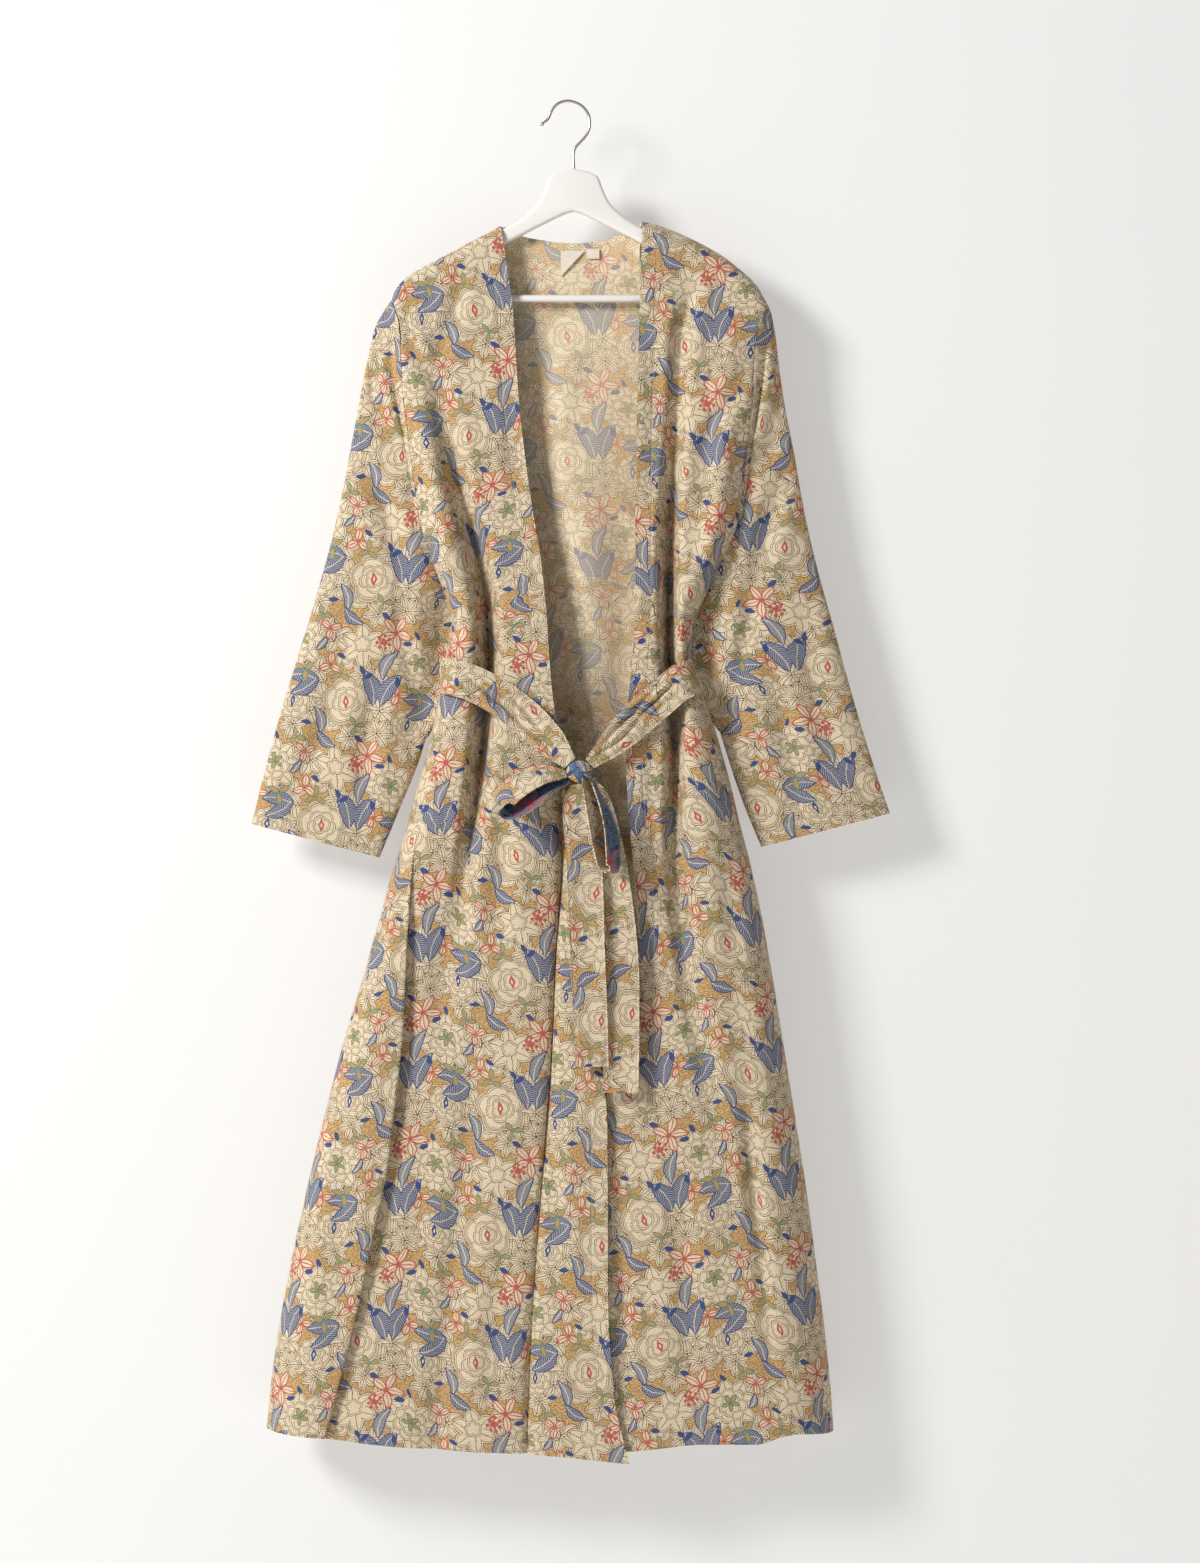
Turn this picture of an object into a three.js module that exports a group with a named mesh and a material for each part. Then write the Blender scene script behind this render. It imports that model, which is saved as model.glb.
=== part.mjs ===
// Beach robe on a clothes hanger, hanging by its hook with the belt tied in a bow.
// Millimetres, +Z up, +X to the viewer's right; the front of the robe faces -Y.
// The origin is the highest point inside the hook, where a rail carries it.
import * as THREE from 'three';
import { mergeVertices } from 'three/addons/utils/BufferGeometryUtils.js';

// ---------------------------------------------------------------- driving sizes
const cloth = 2;              // wall of one layer of cloth
const beltWall = 2.6;         // wall of the belt, folded double and sewn flat
const labelWall = 1;          // wall of the woven labels
const seamGap = 0.3;          // gap between two pieces at a seam
const armholeGap = 0.8;       // gap at the armholes, where the two walls meet at an angle
const liftOff = 0.4;          // gap under a piece that lies on another
const beltLift = 0.9;         // gap under the belt where it bends round the front
const shoulderRound = 12;     // drop over which the cloth turns down off the shoulder
const armholeDepth = 14;      // half the depth of the open armhole

const hangerX = 7;            // middle of the hanger
const hangerThick = 12;
const hangerBevel = 3;
const barRadius = 4;
const barZ = -224;
const barHalf = 171.7;
const wireRadius = 1.7;

// Side edges of the bodice, from the shoulder tip to the waist: left and right x and z.
const bodiceRows = [
  { level: 'shoulder tip', lx: -200, lz: -226, rx: 226, rz: -229 },
  { level: 'seam roll 1', lx: -199, lz: -227.5, rx: 225, rz: -230.5 },
  { level: 'seam roll 2', lx: -197.5, lz: -231, rx: 223.5, rz: -234 },
  { level: 'seam roll 3', lx: -195, lz: -238, rx: 221, rz: -241 },
  { level: 'armhole 1', lx: -190, lz: -260, rx: 215, rz: -264 },
  { level: 'armhole 2', lx: -188, lz: -294, rx: 211, rz: -298 },
  { level: 'armhole 3', lx: -186, lz: -336, rx: 209, rz: -339 },
  { level: 'armhole 4', lx: -180, lz: -382, rx: 204, rz: -384 },
  { level: 'armhole 5', lx: -174, lz: -430, rx: 199, rz: -430 },
  { level: 'armhole 6', lx: -167, lz: -477, rx: 194, rz: -473 },
  { level: 'underarm', lx: -159, lz: -511, rx: 184, rz: -506 },
  { level: 'side 1', lx: -146, lz: -543, rx: 167, rz: -540 },
  { level: 'side 2', lx: -136, lz: -571, rx: 153, rz: -570 },
  { level: 'waist', lx: -131, lz: -593, rx: 144, rz: -591 },
];
const underarmRow = 10;

// Side edges of the skirt, from the waist to the hem.
const skirtRows = [
  { level: 'waist', lx: -131, lz: -593, rx: 144, rz: -591 },
  { level: 'belt', lx: -137, lz: -625, rx: 142, rz: -625 },
  { level: 'hip 1', lx: -143, lz: -660, rx: 149, rz: -660 },
  { level: 'hip 2', lx: -150, lz: -700, rx: 162, rz: -700 },
  { level: 'hip 3', lx: -159, lz: -740, rx: 174, rz: -740 },
  { level: 'hip 4', lx: -170, lz: -780, rx: 185, rz: -780 },
  { level: 'thigh 1', lx: -181, lz: -822, rx: 195, rz: -822 },
  { level: 'thigh 2', lx: -197, lz: -872, rx: 208, rz: -872 },
  { level: 'thigh 3', lx: -214, lz: -932, rx: 221, rz: -932 },
  { level: 'knee 1', lx: -233, lz: -1000, rx: 233, rz: -1000 },
  { level: 'knee 2', lx: -257, lz: -1080, rx: 246, rz: -1080 },
  { level: 'knee 3', lx: -278, lz: -1162, rx: 259, rz: -1162 },
  { level: 'calf 1', lx: -298, lz: -1246, rx: 272, rz: -1246 },
  { level: 'calf 2', lx: -316, lz: -1330, rx: 283, rz: -1330 },
  { level: 'calf 3', lx: -330, lz: -1408, rx: 293, rz: -1408 },
  { level: 'above hem', lx: -338, lz: -1466, rx: 299, rz: -1470 },
  { level: 'hem', lx: -342, lz: -1509, rx: 302, rz: -1513 },
];

// Outlines across the robe: height z at each x.
const leftShoulder = [
  { x: -200, z: -226 }, { x: -197, z: -217 }, { x: -190, z: -207 }, { x: -178, z: -197 },
  { x: -157, z: -185 }, { x: -123, z: -167 }, { x: -76, z: -142 },
];
const rightShoulder = [
  { x: 85, z: -137 }, { x: 105, z: -142 }, { x: 128, z: -151 }, { x: 151, z: -162 },
  { x: 174, z: -175 }, { x: 196, z: -192 }, { x: 214, z: -209 }, { x: 226, z: -229 },
];
const backNeck = [
  { x: -76, z: -142, y: 0.3 }, { x: -71, z: -141, y: 9 }, { x: -62, z: -147, y: 10 },
  { x: -48, z: -152, y: 11 }, { x: -31, z: -155, y: 12 }, { x: -9, z: -158, y: 12 },
  { x: 9, z: -159, y: 12 }, { x: 28, z: -157, y: 12 }, { x: 46, z: -153, y: 12 },
  { x: 60, z: -149, y: 11 }, { x: 72, z: -144, y: 10 }, { x: 80, z: -138, y: 9 },
  { x: 85, z: -137, y: 0.3 },
];
const leftHem = [
  { x: -342, z: -1509 }, { x: -276, z: -1514 }, { x: -221, z: -1521 }, { x: -134, z: -1527 },
  { x: -17, z: -1533 }, { x: 70, z: -1541 },
];
const rightHem = [
  { x: 26, z: -1531 }, { x: 74, z: -1528 }, { x: 156, z: -1520 }, { x: 211, z: -1520 },
  { x: 254, z: -1509 }, { x: 302, z: -1513 },
];
const backHem = [
  { x: -342, z: -1509 }, { x: -240, z: -1519 }, { x: -60, z: -1529 }, { x: 90, z: -1533 },
  { x: 190, z: -1537 }, { x: 250, z: -1531 }, { x: 302, z: -1513 },
];
const neckFade = 60;           // drop over which the back leaves the neck edge's depth
const backWaistRise = 52;     // the back waist seam stands this much above the side seams

// Free edges of the two fronts: x at each height z.
const leftEdge = [
  { z: -142, x: -76 }, { z: -196, x: -68 }, { z: -230, x: -63 }, { z: -343, x: -55 },
  { z: -457, x: -41 }, { z: -525, x: -30 }, { z: -593, x: -23 }, { z: -640, x: -20 },
  { z: -683, x: -16 }, { z: -728, x: -8 }, { z: -852, x: 5 }, { z: -1005, x: 23 },
  { z: -1096, x: 38 }, { z: -1159, x: 45 }, { z: -1360, x: 46 }, { z: -1467, x: 53 },
  { z: -1541, x: 70 },
];
const rightEdge = [
  { z: -137, x: 85 }, { z: -230, x: 82 }, { z: -343, x: 79 }, { z: -457, x: 77 },
  { z: -586, x: 76 }, { z: -627, x: 74 }, { z: -694, x: 68 }, { z: -752, x: 66 },
  { z: -796, x: 68 }, { z: -875, x: 75 }, { z: -930, x: 80 }, { z: -1008, x: 80 },
  { z: -1078, x: 60 }, { z: -1146, x: 40 }, { z: -1248, x: 28 }, { z: -1531, x: 26 },
];

// How far the cloth stands off the hanger's plane, and how wide its turn at the side is.
const fullness = [
  { z: -137, front: 10, back: 10, round: 12 }, { z: -180, front: 12, back: 11, round: 16 },
  { z: -260, front: 15, back: 13, round: 22 }, { z: -420, front: 20, back: 17, round: 26 },
  { z: -520, front: 26, back: 21, round: 26 }, { z: -600, front: 33, back: 25, round: 24 },
  { z: -700, front: 38, back: 28, round: 28 }, { z: -820, front: 41, back: 31, round: 36 },
  { z: -1000, front: 42, back: 34, round: 46 }, { z: -1250, front: 46, back: 39, round: 58 },
  { z: -1541, front: 50, back: 45, round: 64 },
];

// Soft folds: a line down the cloth with its depth (negative for a ridge) at each height.
const frontFolds = [
  { name: 'left valley', width: 15, line: [
    { z: -250, x: -152, deep: 0 }, { z: -340, x: -140, deep: 4 }, { z: -423, x: -127, deep: 9 },
    { z: -515, x: -103, deep: 15 }, { z: -579, x: -93, deep: 18 }, { z: -640, x: -90, deep: 20 },
    { z: -700, x: -94, deep: 20 }, { z: -783, x: -102, deep: 17 }, { z: -856, x: -112, deep: 12 },
    { z: -948, x: -126, deep: 7 }, { z: -1022, x: -134, deep: 3 }, { z: -1100, x: -140, deep: 0 }] },
  { name: 'right valley', width: 16, line: [
    { z: -160, x: 137, deep: 0 }, { z: -211, x: 133, deep: 2 }, { z: -302, x: 128, deep: 8 },
    { z: -423, x: 119, deep: 13 }, { z: -524, x: 115, deep: 17 }, { z: -616, x: 115, deep: 20 },
    { z: -709, x: 121, deep: 20 }, { z: -820, x: 120, deep: 16 }, { z: -902, x: 125, deep: 11 },
    { z: -1004, x: 137, deep: 6 }, { z: -1105, x: 156, deep: 3 }, { z: -1200, x: 168, deep: 0 }] },
  { name: 'middle valley', width: 20, line: [
    { z: -690, x: -26, deep: 0 }, { z: -773, x: -6, deep: 8 }, { z: -856, x: -6, deep: 11 },
    { z: -966, x: -13, deep: 11 }, { z: -1087, x: -18, deep: 10 }, { z: -1225, x: -29, deep: 9 },
    { z: -1280, x: -33, deep: 8 }, { z: -1419, x: -42, deep: 7 }, { z: -1541, x: -46, deep: 7 }] },
  { name: 'left chest ridge', width: 14, line: [
    { z: -230, x: -172, deep: 0 }, { z: -330, x: -166, deep: -3 }, { z: -430, x: -150, deep: -6 },
    { z: -520, x: -133, deep: -7 }, { z: -600, x: -117, deep: -3 }, { z: -680, x: -120, deep: 0 }] },
  { name: 'right chest ridge', width: 16, line: [
    { z: -230, x: 190, deep: 0 }, { z: -330, x: 182, deep: -5 }, { z: -430, x: 176, deep: -8 },
    { z: -520, x: 158, deep: -8 }, { z: -600, x: 132, deep: -3 }, { z: -680, x: 140, deep: 0 }] },
  { name: 'right hip ridge', width: 18, line: [
    { z: -660, x: 146, deep: 0 }, { z: -740, x: 150, deep: -4 }, { z: -860, x: 162, deep: -4 },
    { z: -1000, x: 180, deep: 0 }] },
  { name: 'right calf crease', width: 9, line: [
    { z: -1120, x: 198, deep: 0 }, { z: -1171, x: 204, deep: 5 }, { z: -1279, x: 216, deep: 6 },
    { z: -1400, x: 226, deep: 3 }, { z: -1480, x: 232, deep: 0 }] },
  { name: 'left calf valley', width: 18, line: [
    { z: -1020, x: -96, deep: 0 }, { z: -1150, x: -108, deep: 5 }, { z: -1330, x: -130, deep: 7 },
    { z: -1541, x: -150, deep: 7 }] },
];
const backFolds = [
  { name: 'back left valley', width: 22, line: [
    { z: -480, x: -70, deep: 0 }, { z: -560, x: -72, deep: 5 }, { z: -700, x: -84, deep: 11 },
    { z: -1000, x: -124, deep: 9 }, { z: -1537, x: -190, deep: 14 }] },
  { name: 'back middle ridge', width: 30, line: [
    { z: -560, x: 6, deep: 0 }, { z: -700, x: -2, deep: -6 }, { z: -1100, x: -20, deep: -8 },
    { z: -1537, x: -36, deep: -10 }] },
  { name: 'back right valley', width: 24, line: [
    { z: -480, x: 84, deep: 0 }, { z: -560, x: 86, deep: 5 }, { z: -700, x: 96, deep: 11 },
    { z: -1000, x: 122, deep: 10 }, { z: -1537, x: 176, deep: 15 }] },
];

// The sharp fold down the left of the skirt: the side strip lies over the front there.
const stripFold = [
  { z: -593, x: -98.6, deep: 0 }, { z: -640, x: -106, deep: 0 }, { z: -700, x: -119, deep: 0 },
  { z: -760, x: -140, deep: 0 }, { z: -810, x: -161, deep: 3 }, { z: -841, x: -171, deep: 7 },
  { z: -884, x: -179, deep: 12 }, { z: -965, x: -186, deep: 16 }, { z: -1059, x: -191, deep: 17 },
  { z: -1131, x: -199, deep: 17 }, { z: -1207, x: -208, deep: 16 }, { z: -1270, x: -221, deep: 15 },
  { z: -1350, x: -237, deep: 13 }, { z: -1446, x: -259, deep: 11 }, { z: -1514, x: -276, deep: 10 },
];
const stripTurn = 6;          // half the width of that fold's turn
const stripLap = 9;           // how far its two bends pass each other
const stripReach = 70;        // how far the dip beside it reaches

// Sleeve sections: outer end, inner end, half depth and middle plane of each flat ring.
const leftSleeve = [
  { ox: -207, oz: -236, ix: -166, iz: -522, half: 13, y: 1 },
  { ox: -219, oz: -258, ix: -156, iz: -545, half: 13, y: 3 },
  { ox: -229, oz: -300, ix: -146.5, iz: -568, half: 13, y: 5 },
  { ox: -241, oz: -362, ix: -141, iz: -594, half: 14, y: 7 },
  { ox: -254, oz: -432, ix: -144, iz: -622, half: 15, y: 8 },
  { ox: -269, oz: -500, ix: -149, iz: -652, half: 16, y: 8 },
  { ox: -287, oz: -565, ix: -154, iz: -682, half: 16, y: 8 },
  { ox: -306, oz: -628, ix: -160, iz: -712, half: 16, y: 8 },
  { ox: -326, oz: -693, ix: -170, iz: -748, half: 15, y: 8 },
  { ox: -345, oz: -762, ix: -190, iz: -798, half: 14, y: 8 },
  { ox: -360, oz: -823, ix: -216, iz: -861, half: 13, y: 8 },
];
const rightSleeve = [
  { ox: 231, oz: -240, ix: 192.5, iz: -519, half: 13, y: 1 },
  { ox: 236, oz: -266, ix: 185, iz: -540, half: 13, y: 3 },
  { ox: 241, oz: -306, ix: 173, iz: -560, half: 13, y: 5 },
  { ox: 248, oz: -352, ix: 159, iz: -584, half: 14, y: 7 },
  { ox: 258, oz: -402, ix: 152, iz: -610, half: 15, y: 8 },
  { ox: 268, oz: -460, ix: 153, iz: -638, half: 16, y: 8 },
  { ox: 283, oz: -527, ix: 159, iz: -666, half: 16, y: 8 },
  { ox: 303, oz: -600, ix: 170, iz: -702, half: 16, y: 8 },
  { ox: 325, oz: -680, ix: 183, iz: -744, half: 15, y: 8 },
  { ox: 348, oz: -755, ix: 201, iz: -798, half: 14, y: 8 },
  { ox: 367, oz: -811, ix: 222, iz: -849, half: 13, y: 8 },
];
const sleeveFlatness = 0.5;   // below 1 the ring is flatter than an ellipse

// The belt and bow: middle line, half width, and the lean of the band across its length.
const knotAt = { x: 14, y: -60, z: -764 };
const knotSize = { x: 15, y: 10, z: 13 };
const beltLeft = [
  { x: -138, z: -655, half: 20, free: 0 }, { x: -135.5, z: -655, half: 20, free: 0 },
  { x: -131, z: -656, half: 20, free: 0 }, { x: -124, z: -658, half: 20, free: 0 },
  { x: -112, z: -662, half: 20, free: 0 }, { x: -94, z: -670, half: 20, free: 0 },
  { x: -72, z: -683, half: 20, free: 0 }, { x: -46, z: -703, half: 20, free: 0.1 },
  { x: -20, z: -729, half: 18, free: 0.6 }, { x: 3.2, z: -754, half: 8, free: 1 },
];
const beltRight = [
  { x: 141.5, z: -655, half: 20, free: 0 }, { x: 139, z: -656, half: 20, free: 0 },
  { x: 134, z: -658, half: 20, free: 0 }, { x: 125, z: -664, half: 20, free: 0 },
  { x: 107, z: -680, half: 20, free: 0 }, { x: 86, z: -698, half: 20, free: 0.1 },
  { x: 66, z: -716, half: 19, free: 0.4 }, { x: 46, z: -736, half: 14, free: 0.8 },
  { x: 25.2, z: -754.4, half: 7, free: 1 },
];
const tailLeft = [
  { x: 12, y: -60, z: -777.6, half: 8 }, { x: 14, y: -62, z: -792, half: 17 },
  { x: 15, y: -63, z: -812, half: 20 }, { x: 19, y: -63, z: -860, half: 20 },
  { x: 21, y: -63, z: -910, half: 20 }, { x: 23, y: -63, z: -970, half: 19.5 },
  { x: 26, y: -62, z: -1030, half: 19 }, { x: 28, y: -62, z: -1094, half: 18.5 },
];
const tailRight = [
  { x: 23, y: -54, z: -773.3, half: 7 }, { x: 31, y: -54, z: -792, half: 15 },
  { x: 37, y: -54, z: -825, half: 20 }, { x: 45, y: -54, z: -860, half: 20 },
  { x: 52, y: -54, z: -900, half: 20 }, { x: 58, y: -55, z: -950, half: 20 },
  { x: 61, y: -55, z: -1000, half: 20 }, { x: 61, y: -56, z: -1060, half: 20 },
  { x: 60, y: -56, z: -1124, half: 20 },
];
const loopLeft = [
  { x: -1.5, y: -61, z: -766, half: 5 }, { x: -20, y: -68, z: -766, half: 14 },
  { x: -42, y: -69, z: -772, half: 19 }, { x: -62, y: -71, z: -785, half: 20 },
  { x: -72, y: -72, z: -797, half: 20 }, { x: -70, y: -72, z: -804, half: 20 },
  { x: -58, y: -71, z: -803, half: 19 }, { x: -38, y: -69, z: -792, half: 17 },
  { x: -19, y: -65, z: -778, half: 13 }, { x: 2, y: -60, z: -773, half: 4 },
];
const loopLeftLean = { x: 0.25, y: -0.72, z: -0.62 };
const loopRight = [
  { x: 19, y: -68, z: -772.5, half: 5 }, { x: 26, y: -77, z: -790, half: 13 },
  { x: 31, y: -81, z: -815, half: 16 }, { x: 36, y: -82, z: -845, half: 17 },
  { x: 42, y: -82, z: -868, half: 17 }, { x: 48, y: -82, z: -873, half: 17 },
  { x: 52, y: -82, z: -866, half: 16 }, { x: 51, y: -81, z: -840, half: 15 },
  { x: 44, y: -79, z: -812, half: 11 }, { x: 29, y: -69, z: -776, half: 5 },
];
const loopRightLean = { x: -0.5, y: -0.86, z: 0.1 };

// Bent wire of the hook, from the tip over the top and down into the wood.
const hookLine = [
  { x: -27, z: -23 }, { x: -22.5, z: -19.5 }, { x: -19, z: -11 }, { x: -12, z: -2 },
  { x: 0, z: 1.7 }, { x: 12.5, z: -2 }, { x: 21, z: -9.5 }, { x: 25, z: -19 }, { x: 25, z: -28 },
  { x: 21, z: -38 }, { x: 13, z: -47 }, { x: 8, z: -53 }, { x: 6.4, z: -60 }, { x: 7, z: -76.1 },
];
const hookBeadRadius = 2.6;
// Half of the hanger body's outline, from the top of the hub round the arm to the notch.
const hangerOutline = [
  { r: 0, z: -76.5 }, { r: 14, z: -79 }, { r: 27, z: -85 }, { r: 33, z: -99 },
  { r: 40, z: -114 }, { r: 52, z: -127 }, { r: 65, z: -137 }, { r: 83, z: -146.7 },
  { r: 130, z: -170.2 }, { r: 164, z: -188.2 }, { r: 185, z: -201.2 }, { r: 197, z: -212.4 },
  { r: 202, z: -223 }, { r: 200, z: -233 }, { r: 190, z: -238 }, { r: 178, z: -237 },
  { r: 172, z: -232 }, { r: 172, z: -215 }, { r: 150, z: -203 }, { r: 78, z: -162 },
  { r: 8, z: -127 }, { r: 0, z: -125 },
];

// Labels at the back neck: the larger is folded across its corner.
const neckLabel = { left: -8, right: 19, top: -168, bottom: -197 };
const sizeTab = { left: 21.5, right: 36, top: -166, bottom: -177 };

// ---------------------------------------------------------------- small helpers
const vec = (x, y, z) => new THREE.Vector3(x, y, z);
const mix = (a, b, t) => a + (b - a) * t;
const clamp = (t, low = 0, high = 1) => Math.min(high, Math.max(low, t));
const quarterRound = (t) => Math.sqrt(1 - (1 - clamp(t)) ** 2);

// Value of a table's column where another column has the value at, on a smooth curve.
function read(table, key, column, at) {
  const down = table[0][key] > table[table.length - 1][key] ? -1 : 1;
  const k = table.map((row) => row[key] * down);
  const v = table.map((row) => row[column]);
  const x = clamp(at * down, k[0], k[k.length - 1]);
  let i = 0;
  while (i < k.length - 2 && x > k[i + 1]) i += 1;
  const rise = (j) => (v[j + 1] - v[j]) / (k[j + 1] - k[j]);
  const slope = (j) => {
    if (j === 0) return rise(0);
    if (j === k.length - 1) return rise(j - 1);
    const before = rise(j - 1);
    const after = rise(j);
    return before * after <= 0 ? 0 : (2 * before * after) / (before + after);
  };
  const h = k[i + 1] - k[i];
  const t = (x - k[i]) / h;
  const s = t * t * (3 - 2 * t);
  const bend = h * t * (1 - t);
  return mix(v[i], v[i + 1], s) + bend * ((1 - t) * slope(i) - t * slope(i + 1));
}

// Depth that a list of folds takes away at one point of the cloth.
function foldDepth(folds, x, z) {
  return folds.reduce((sum, fold) => {
    const away = (x - read(fold.line, 'z', 'x', z)) / fold.width;
    const last = fold.line[fold.line.length - 1];
    const inside = z <= fold.line[0].z && z >= last.z - 1;
    return sum + (inside ? read(fold.line, 'z', 'deep', z) * Math.exp(-away * away) : 0);
  }, 0);
}

// Unit normals of a grid of points; closed means that each row is a ring.
function gridNormals(grid, closed) {
  const rows = grid.length;
  const columns = grid[0].length;
  return grid.map((row, i) => row.map((point, j) => {
    const up = grid[Math.max(0, i - 1)][j];
    const down = grid[Math.min(rows - 1, i + 1)][j];
    const before = closed ? row[(j + columns - 1) % columns] : row[Math.max(0, j - 1)];
    const after = closed ? row[(j + 1) % columns] : row[Math.min(columns - 1, j + 1)];
    return down.clone().sub(up).cross(after.clone().sub(before)).normalize();
  }));
}

// Closed solid from a list of points and triangles, turned so that it faces outwards.
function solidFrom(points, faces) {
  let volume = 0;
  for (const [a, b, c] of faces) volume += points[a].dot(points[b].clone().cross(points[c]));
  const turned = volume < 0 ? faces.map(([a, b, c]) => [a, c, b]) : faces;
  const geometry = new THREE.BufferGeometry();
  const flat = points.flatMap((p) => [p.x, p.y, p.z]);
  geometry.setAttribute('position', new THREE.Float32BufferAttribute(flat, 3));
  geometry.setIndex(turned.flat());
  geometry.computeVertexNormals();
  return geometry;
}

// Wall of cloth round the middle surface that a grid of points describes.
function wall(panel, thickness) {
  const { grid, normals } = panel;
  const rows = grid.length;
  const columns = grid[0].length;
  const points = [];
  for (const side of [0.5, -0.5]) {
    grid.forEach((row, i) => row.forEach((p, j) => {
      points.push(p.clone().addScaledVector(normals[i][j], side * thickness));
    }));
  }
  const under = rows * columns;
  const id = (i, j) => i * columns + j;
  const faces = [];
  const quad = (a, b, c, d) => faces.push([a, b, c], [a, c, d]);
  const across = columns - 1;
  for (let i = 0; i < rows - 1; i += 1) {
    for (let j = 0; j < across; j += 1) {
      const [a, b, c, d] = [id(i, j), id(i + 1, j), id(i + 1, j + 1), id(i, j + 1)];
      quad(a, b, c, d);
      quad(under + a, under + d, under + c, under + b);
    }
  }
  for (let j = 0; j < across; j += 1) {
    quad(id(0, j), id(0, j + 1), under + id(0, j + 1), under + id(0, j));
    const last = rows - 1;
    quad(id(last, j + 1), id(last, j), under + id(last, j), under + id(last, j + 1));
  }
  for (let i = 0; i < rows - 1; i += 1) {
    quad(id(i + 1, 0), id(i, 0), under + id(i, 0), under + id(i + 1, 0));
    const end = columns - 1;
    quad(id(i, end), id(i + 1, end), under + id(i + 1, end), under + id(i, end));
  }
  return solidFrom(points, faces);
}

// Joins two edges at a seam: both get one line, one set of normals and the seam's gap.
function sew(first, second, edgeOfFirst, edgeOfSecond, gap = seamGap) {
  const places = edgeOfFirst.map(([i, j]) => first.grid[i][j].clone());
  edgeOfFirst.forEach(([i, j, inI, inJ], k) => {
    const [m, n, inM, inN] = edgeOfSecond[k];
    const a = first.grid[i][j];
    const b = second.grid[m][n];
    const normal = first.normals[i][j].clone().add(second.normals[m][n]).normalize();
    const middle = a.clone().add(b).multiplyScalar(0.5);
    const run = places[Math.min(places.length - 1, k + 1)].clone()
      .sub(places[Math.max(0, k - 1)]).normalize();
    const way = second.grid[inM][inN].clone().sub(first.grid[inI][inJ]);
    way.addScaledVector(run, -way.dot(run)).addScaledVector(normal, -way.dot(normal));
    way.normalize().multiplyScalar(gap / 2);
    a.copy(middle).sub(way);
    b.copy(middle).add(way);
    first.normals[i][j] = normal;
    second.normals[m][n] = normal.clone();
  });
}

const edgeRow = (panel, i, step) => panel.grid[0].map((_, j) => [i, j, i + step, j]);
const edgeColumn = (panel, j, step, from, to) => {
  const list = [];
  for (let i = from; i <= to; i += 1) list.push([i, j, i, j + step]);
  return list;
};

function panelFrom(grid, outwards) {
  const normals = gridNormals(grid, false);
  const middle = normals[Math.floor(grid.length / 2)][Math.floor(grid[0].length / 2)];
  const flip = middle.dot(outwards) < 0 ? -1 : 1;
  normals.forEach((row) => row.forEach((n) => n.multiplyScalar(flip)));
  return { grid, normals };
}

// ---------------------------------------------------------------- the robe's surface
const front = vec(0, -1, 0);
const back = vec(0, 1, 0);

// Half depth of the armhole's edge: open in its middle, closed at its two ends.
function armholeEdge(side, z) {
  const top = bodiceRows[0][`${side}z`];
  const bottom = bodiceRows[underarmRow][`${side}z`];
  const t = clamp((top - z) / (top - bottom));
  return armholeDepth * Math.sqrt(1 - clamp((t - 0.55) / 0.45) ** 2);
}

// Forward (or, for the back, rearward) distance of the cloth from the hanger's plane.
function depthAt(column, folds, side, x, z, sideX, drop) {
  const base = read(fullness, 'z', column, z);
  const round = read(fullness, 'z', 'round', z);
  const edge = z > bodiceRows[underarmRow][`${side}z`] ? armholeEdge(side, z) : 0;
  const arch = quarterRound(Math.abs(x - sideX) / round);
  const full = edge + (base - edge - foldDepth(folds, x, z)) * arch;
  return full * quarterRound(drop / shoulderRound);
}

// Places across a front, from the side seam (0) to its free edge (1).
const leftStops = [
  { side: 0 }, { side: 0.1 }, { side: 0.28 }, { side: 0.5 }, { fold: -3 }, { fold: -1 },
  { fold: 0 }, { fold: 1 }, { fold: 3 }, { edge: 0.15 }, { edge: 0.28 }, { edge: 0.41 },
  { edge: 0.54 }, { edge: 0.67 }, { edge: 0.8 }, { edge: 0.91 }, { edge: 1 },
];
const rightStops = [0, 0.03, 0.08, 0.15, 0.24, 0.33, 0.42, 0.51, 0.6, 0.69, 0.78, 0.86, 0.93, 1];
const foldShare = 0.3;        // the strip fold's place across the left bodice

// Distance along the row at one stop of the left front.
function leftStop(stop, sideX, foldX, edgeX) {
  if ('side' in stop) return mix(sideX, foldX, stop.side);
  if ('edge' in stop) return mix(foldX, edgeX, stop.edge);
  const room = stop.fold < 0 ? (foldX - sideX) / 40 : (edgeX - foldX) / 200;
  return foldX + stop.fold * stripTurn * Math.min(1, room);
}

// The left front's cloth laps over itself at the strip fold.
function stripShape(x, foldX, z) {
  const deep = z < stripFold[0].z ? read(stripFold, 'z', 'deep', z) : 0;
  const q = (x - foldX) / stripTurn;
  const lap = (stripLap * deep) / stripFold[7].deep;
  const step = clamp((q + 1) / 2);
  return {
    shift: -lap * q * Math.exp(0.5 - (q * q) / 2),
    dip: deep * step * step * (3 - 2 * step) * Math.exp(-Math.max(0, x - foldX) / stripReach),
  };
}

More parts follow.
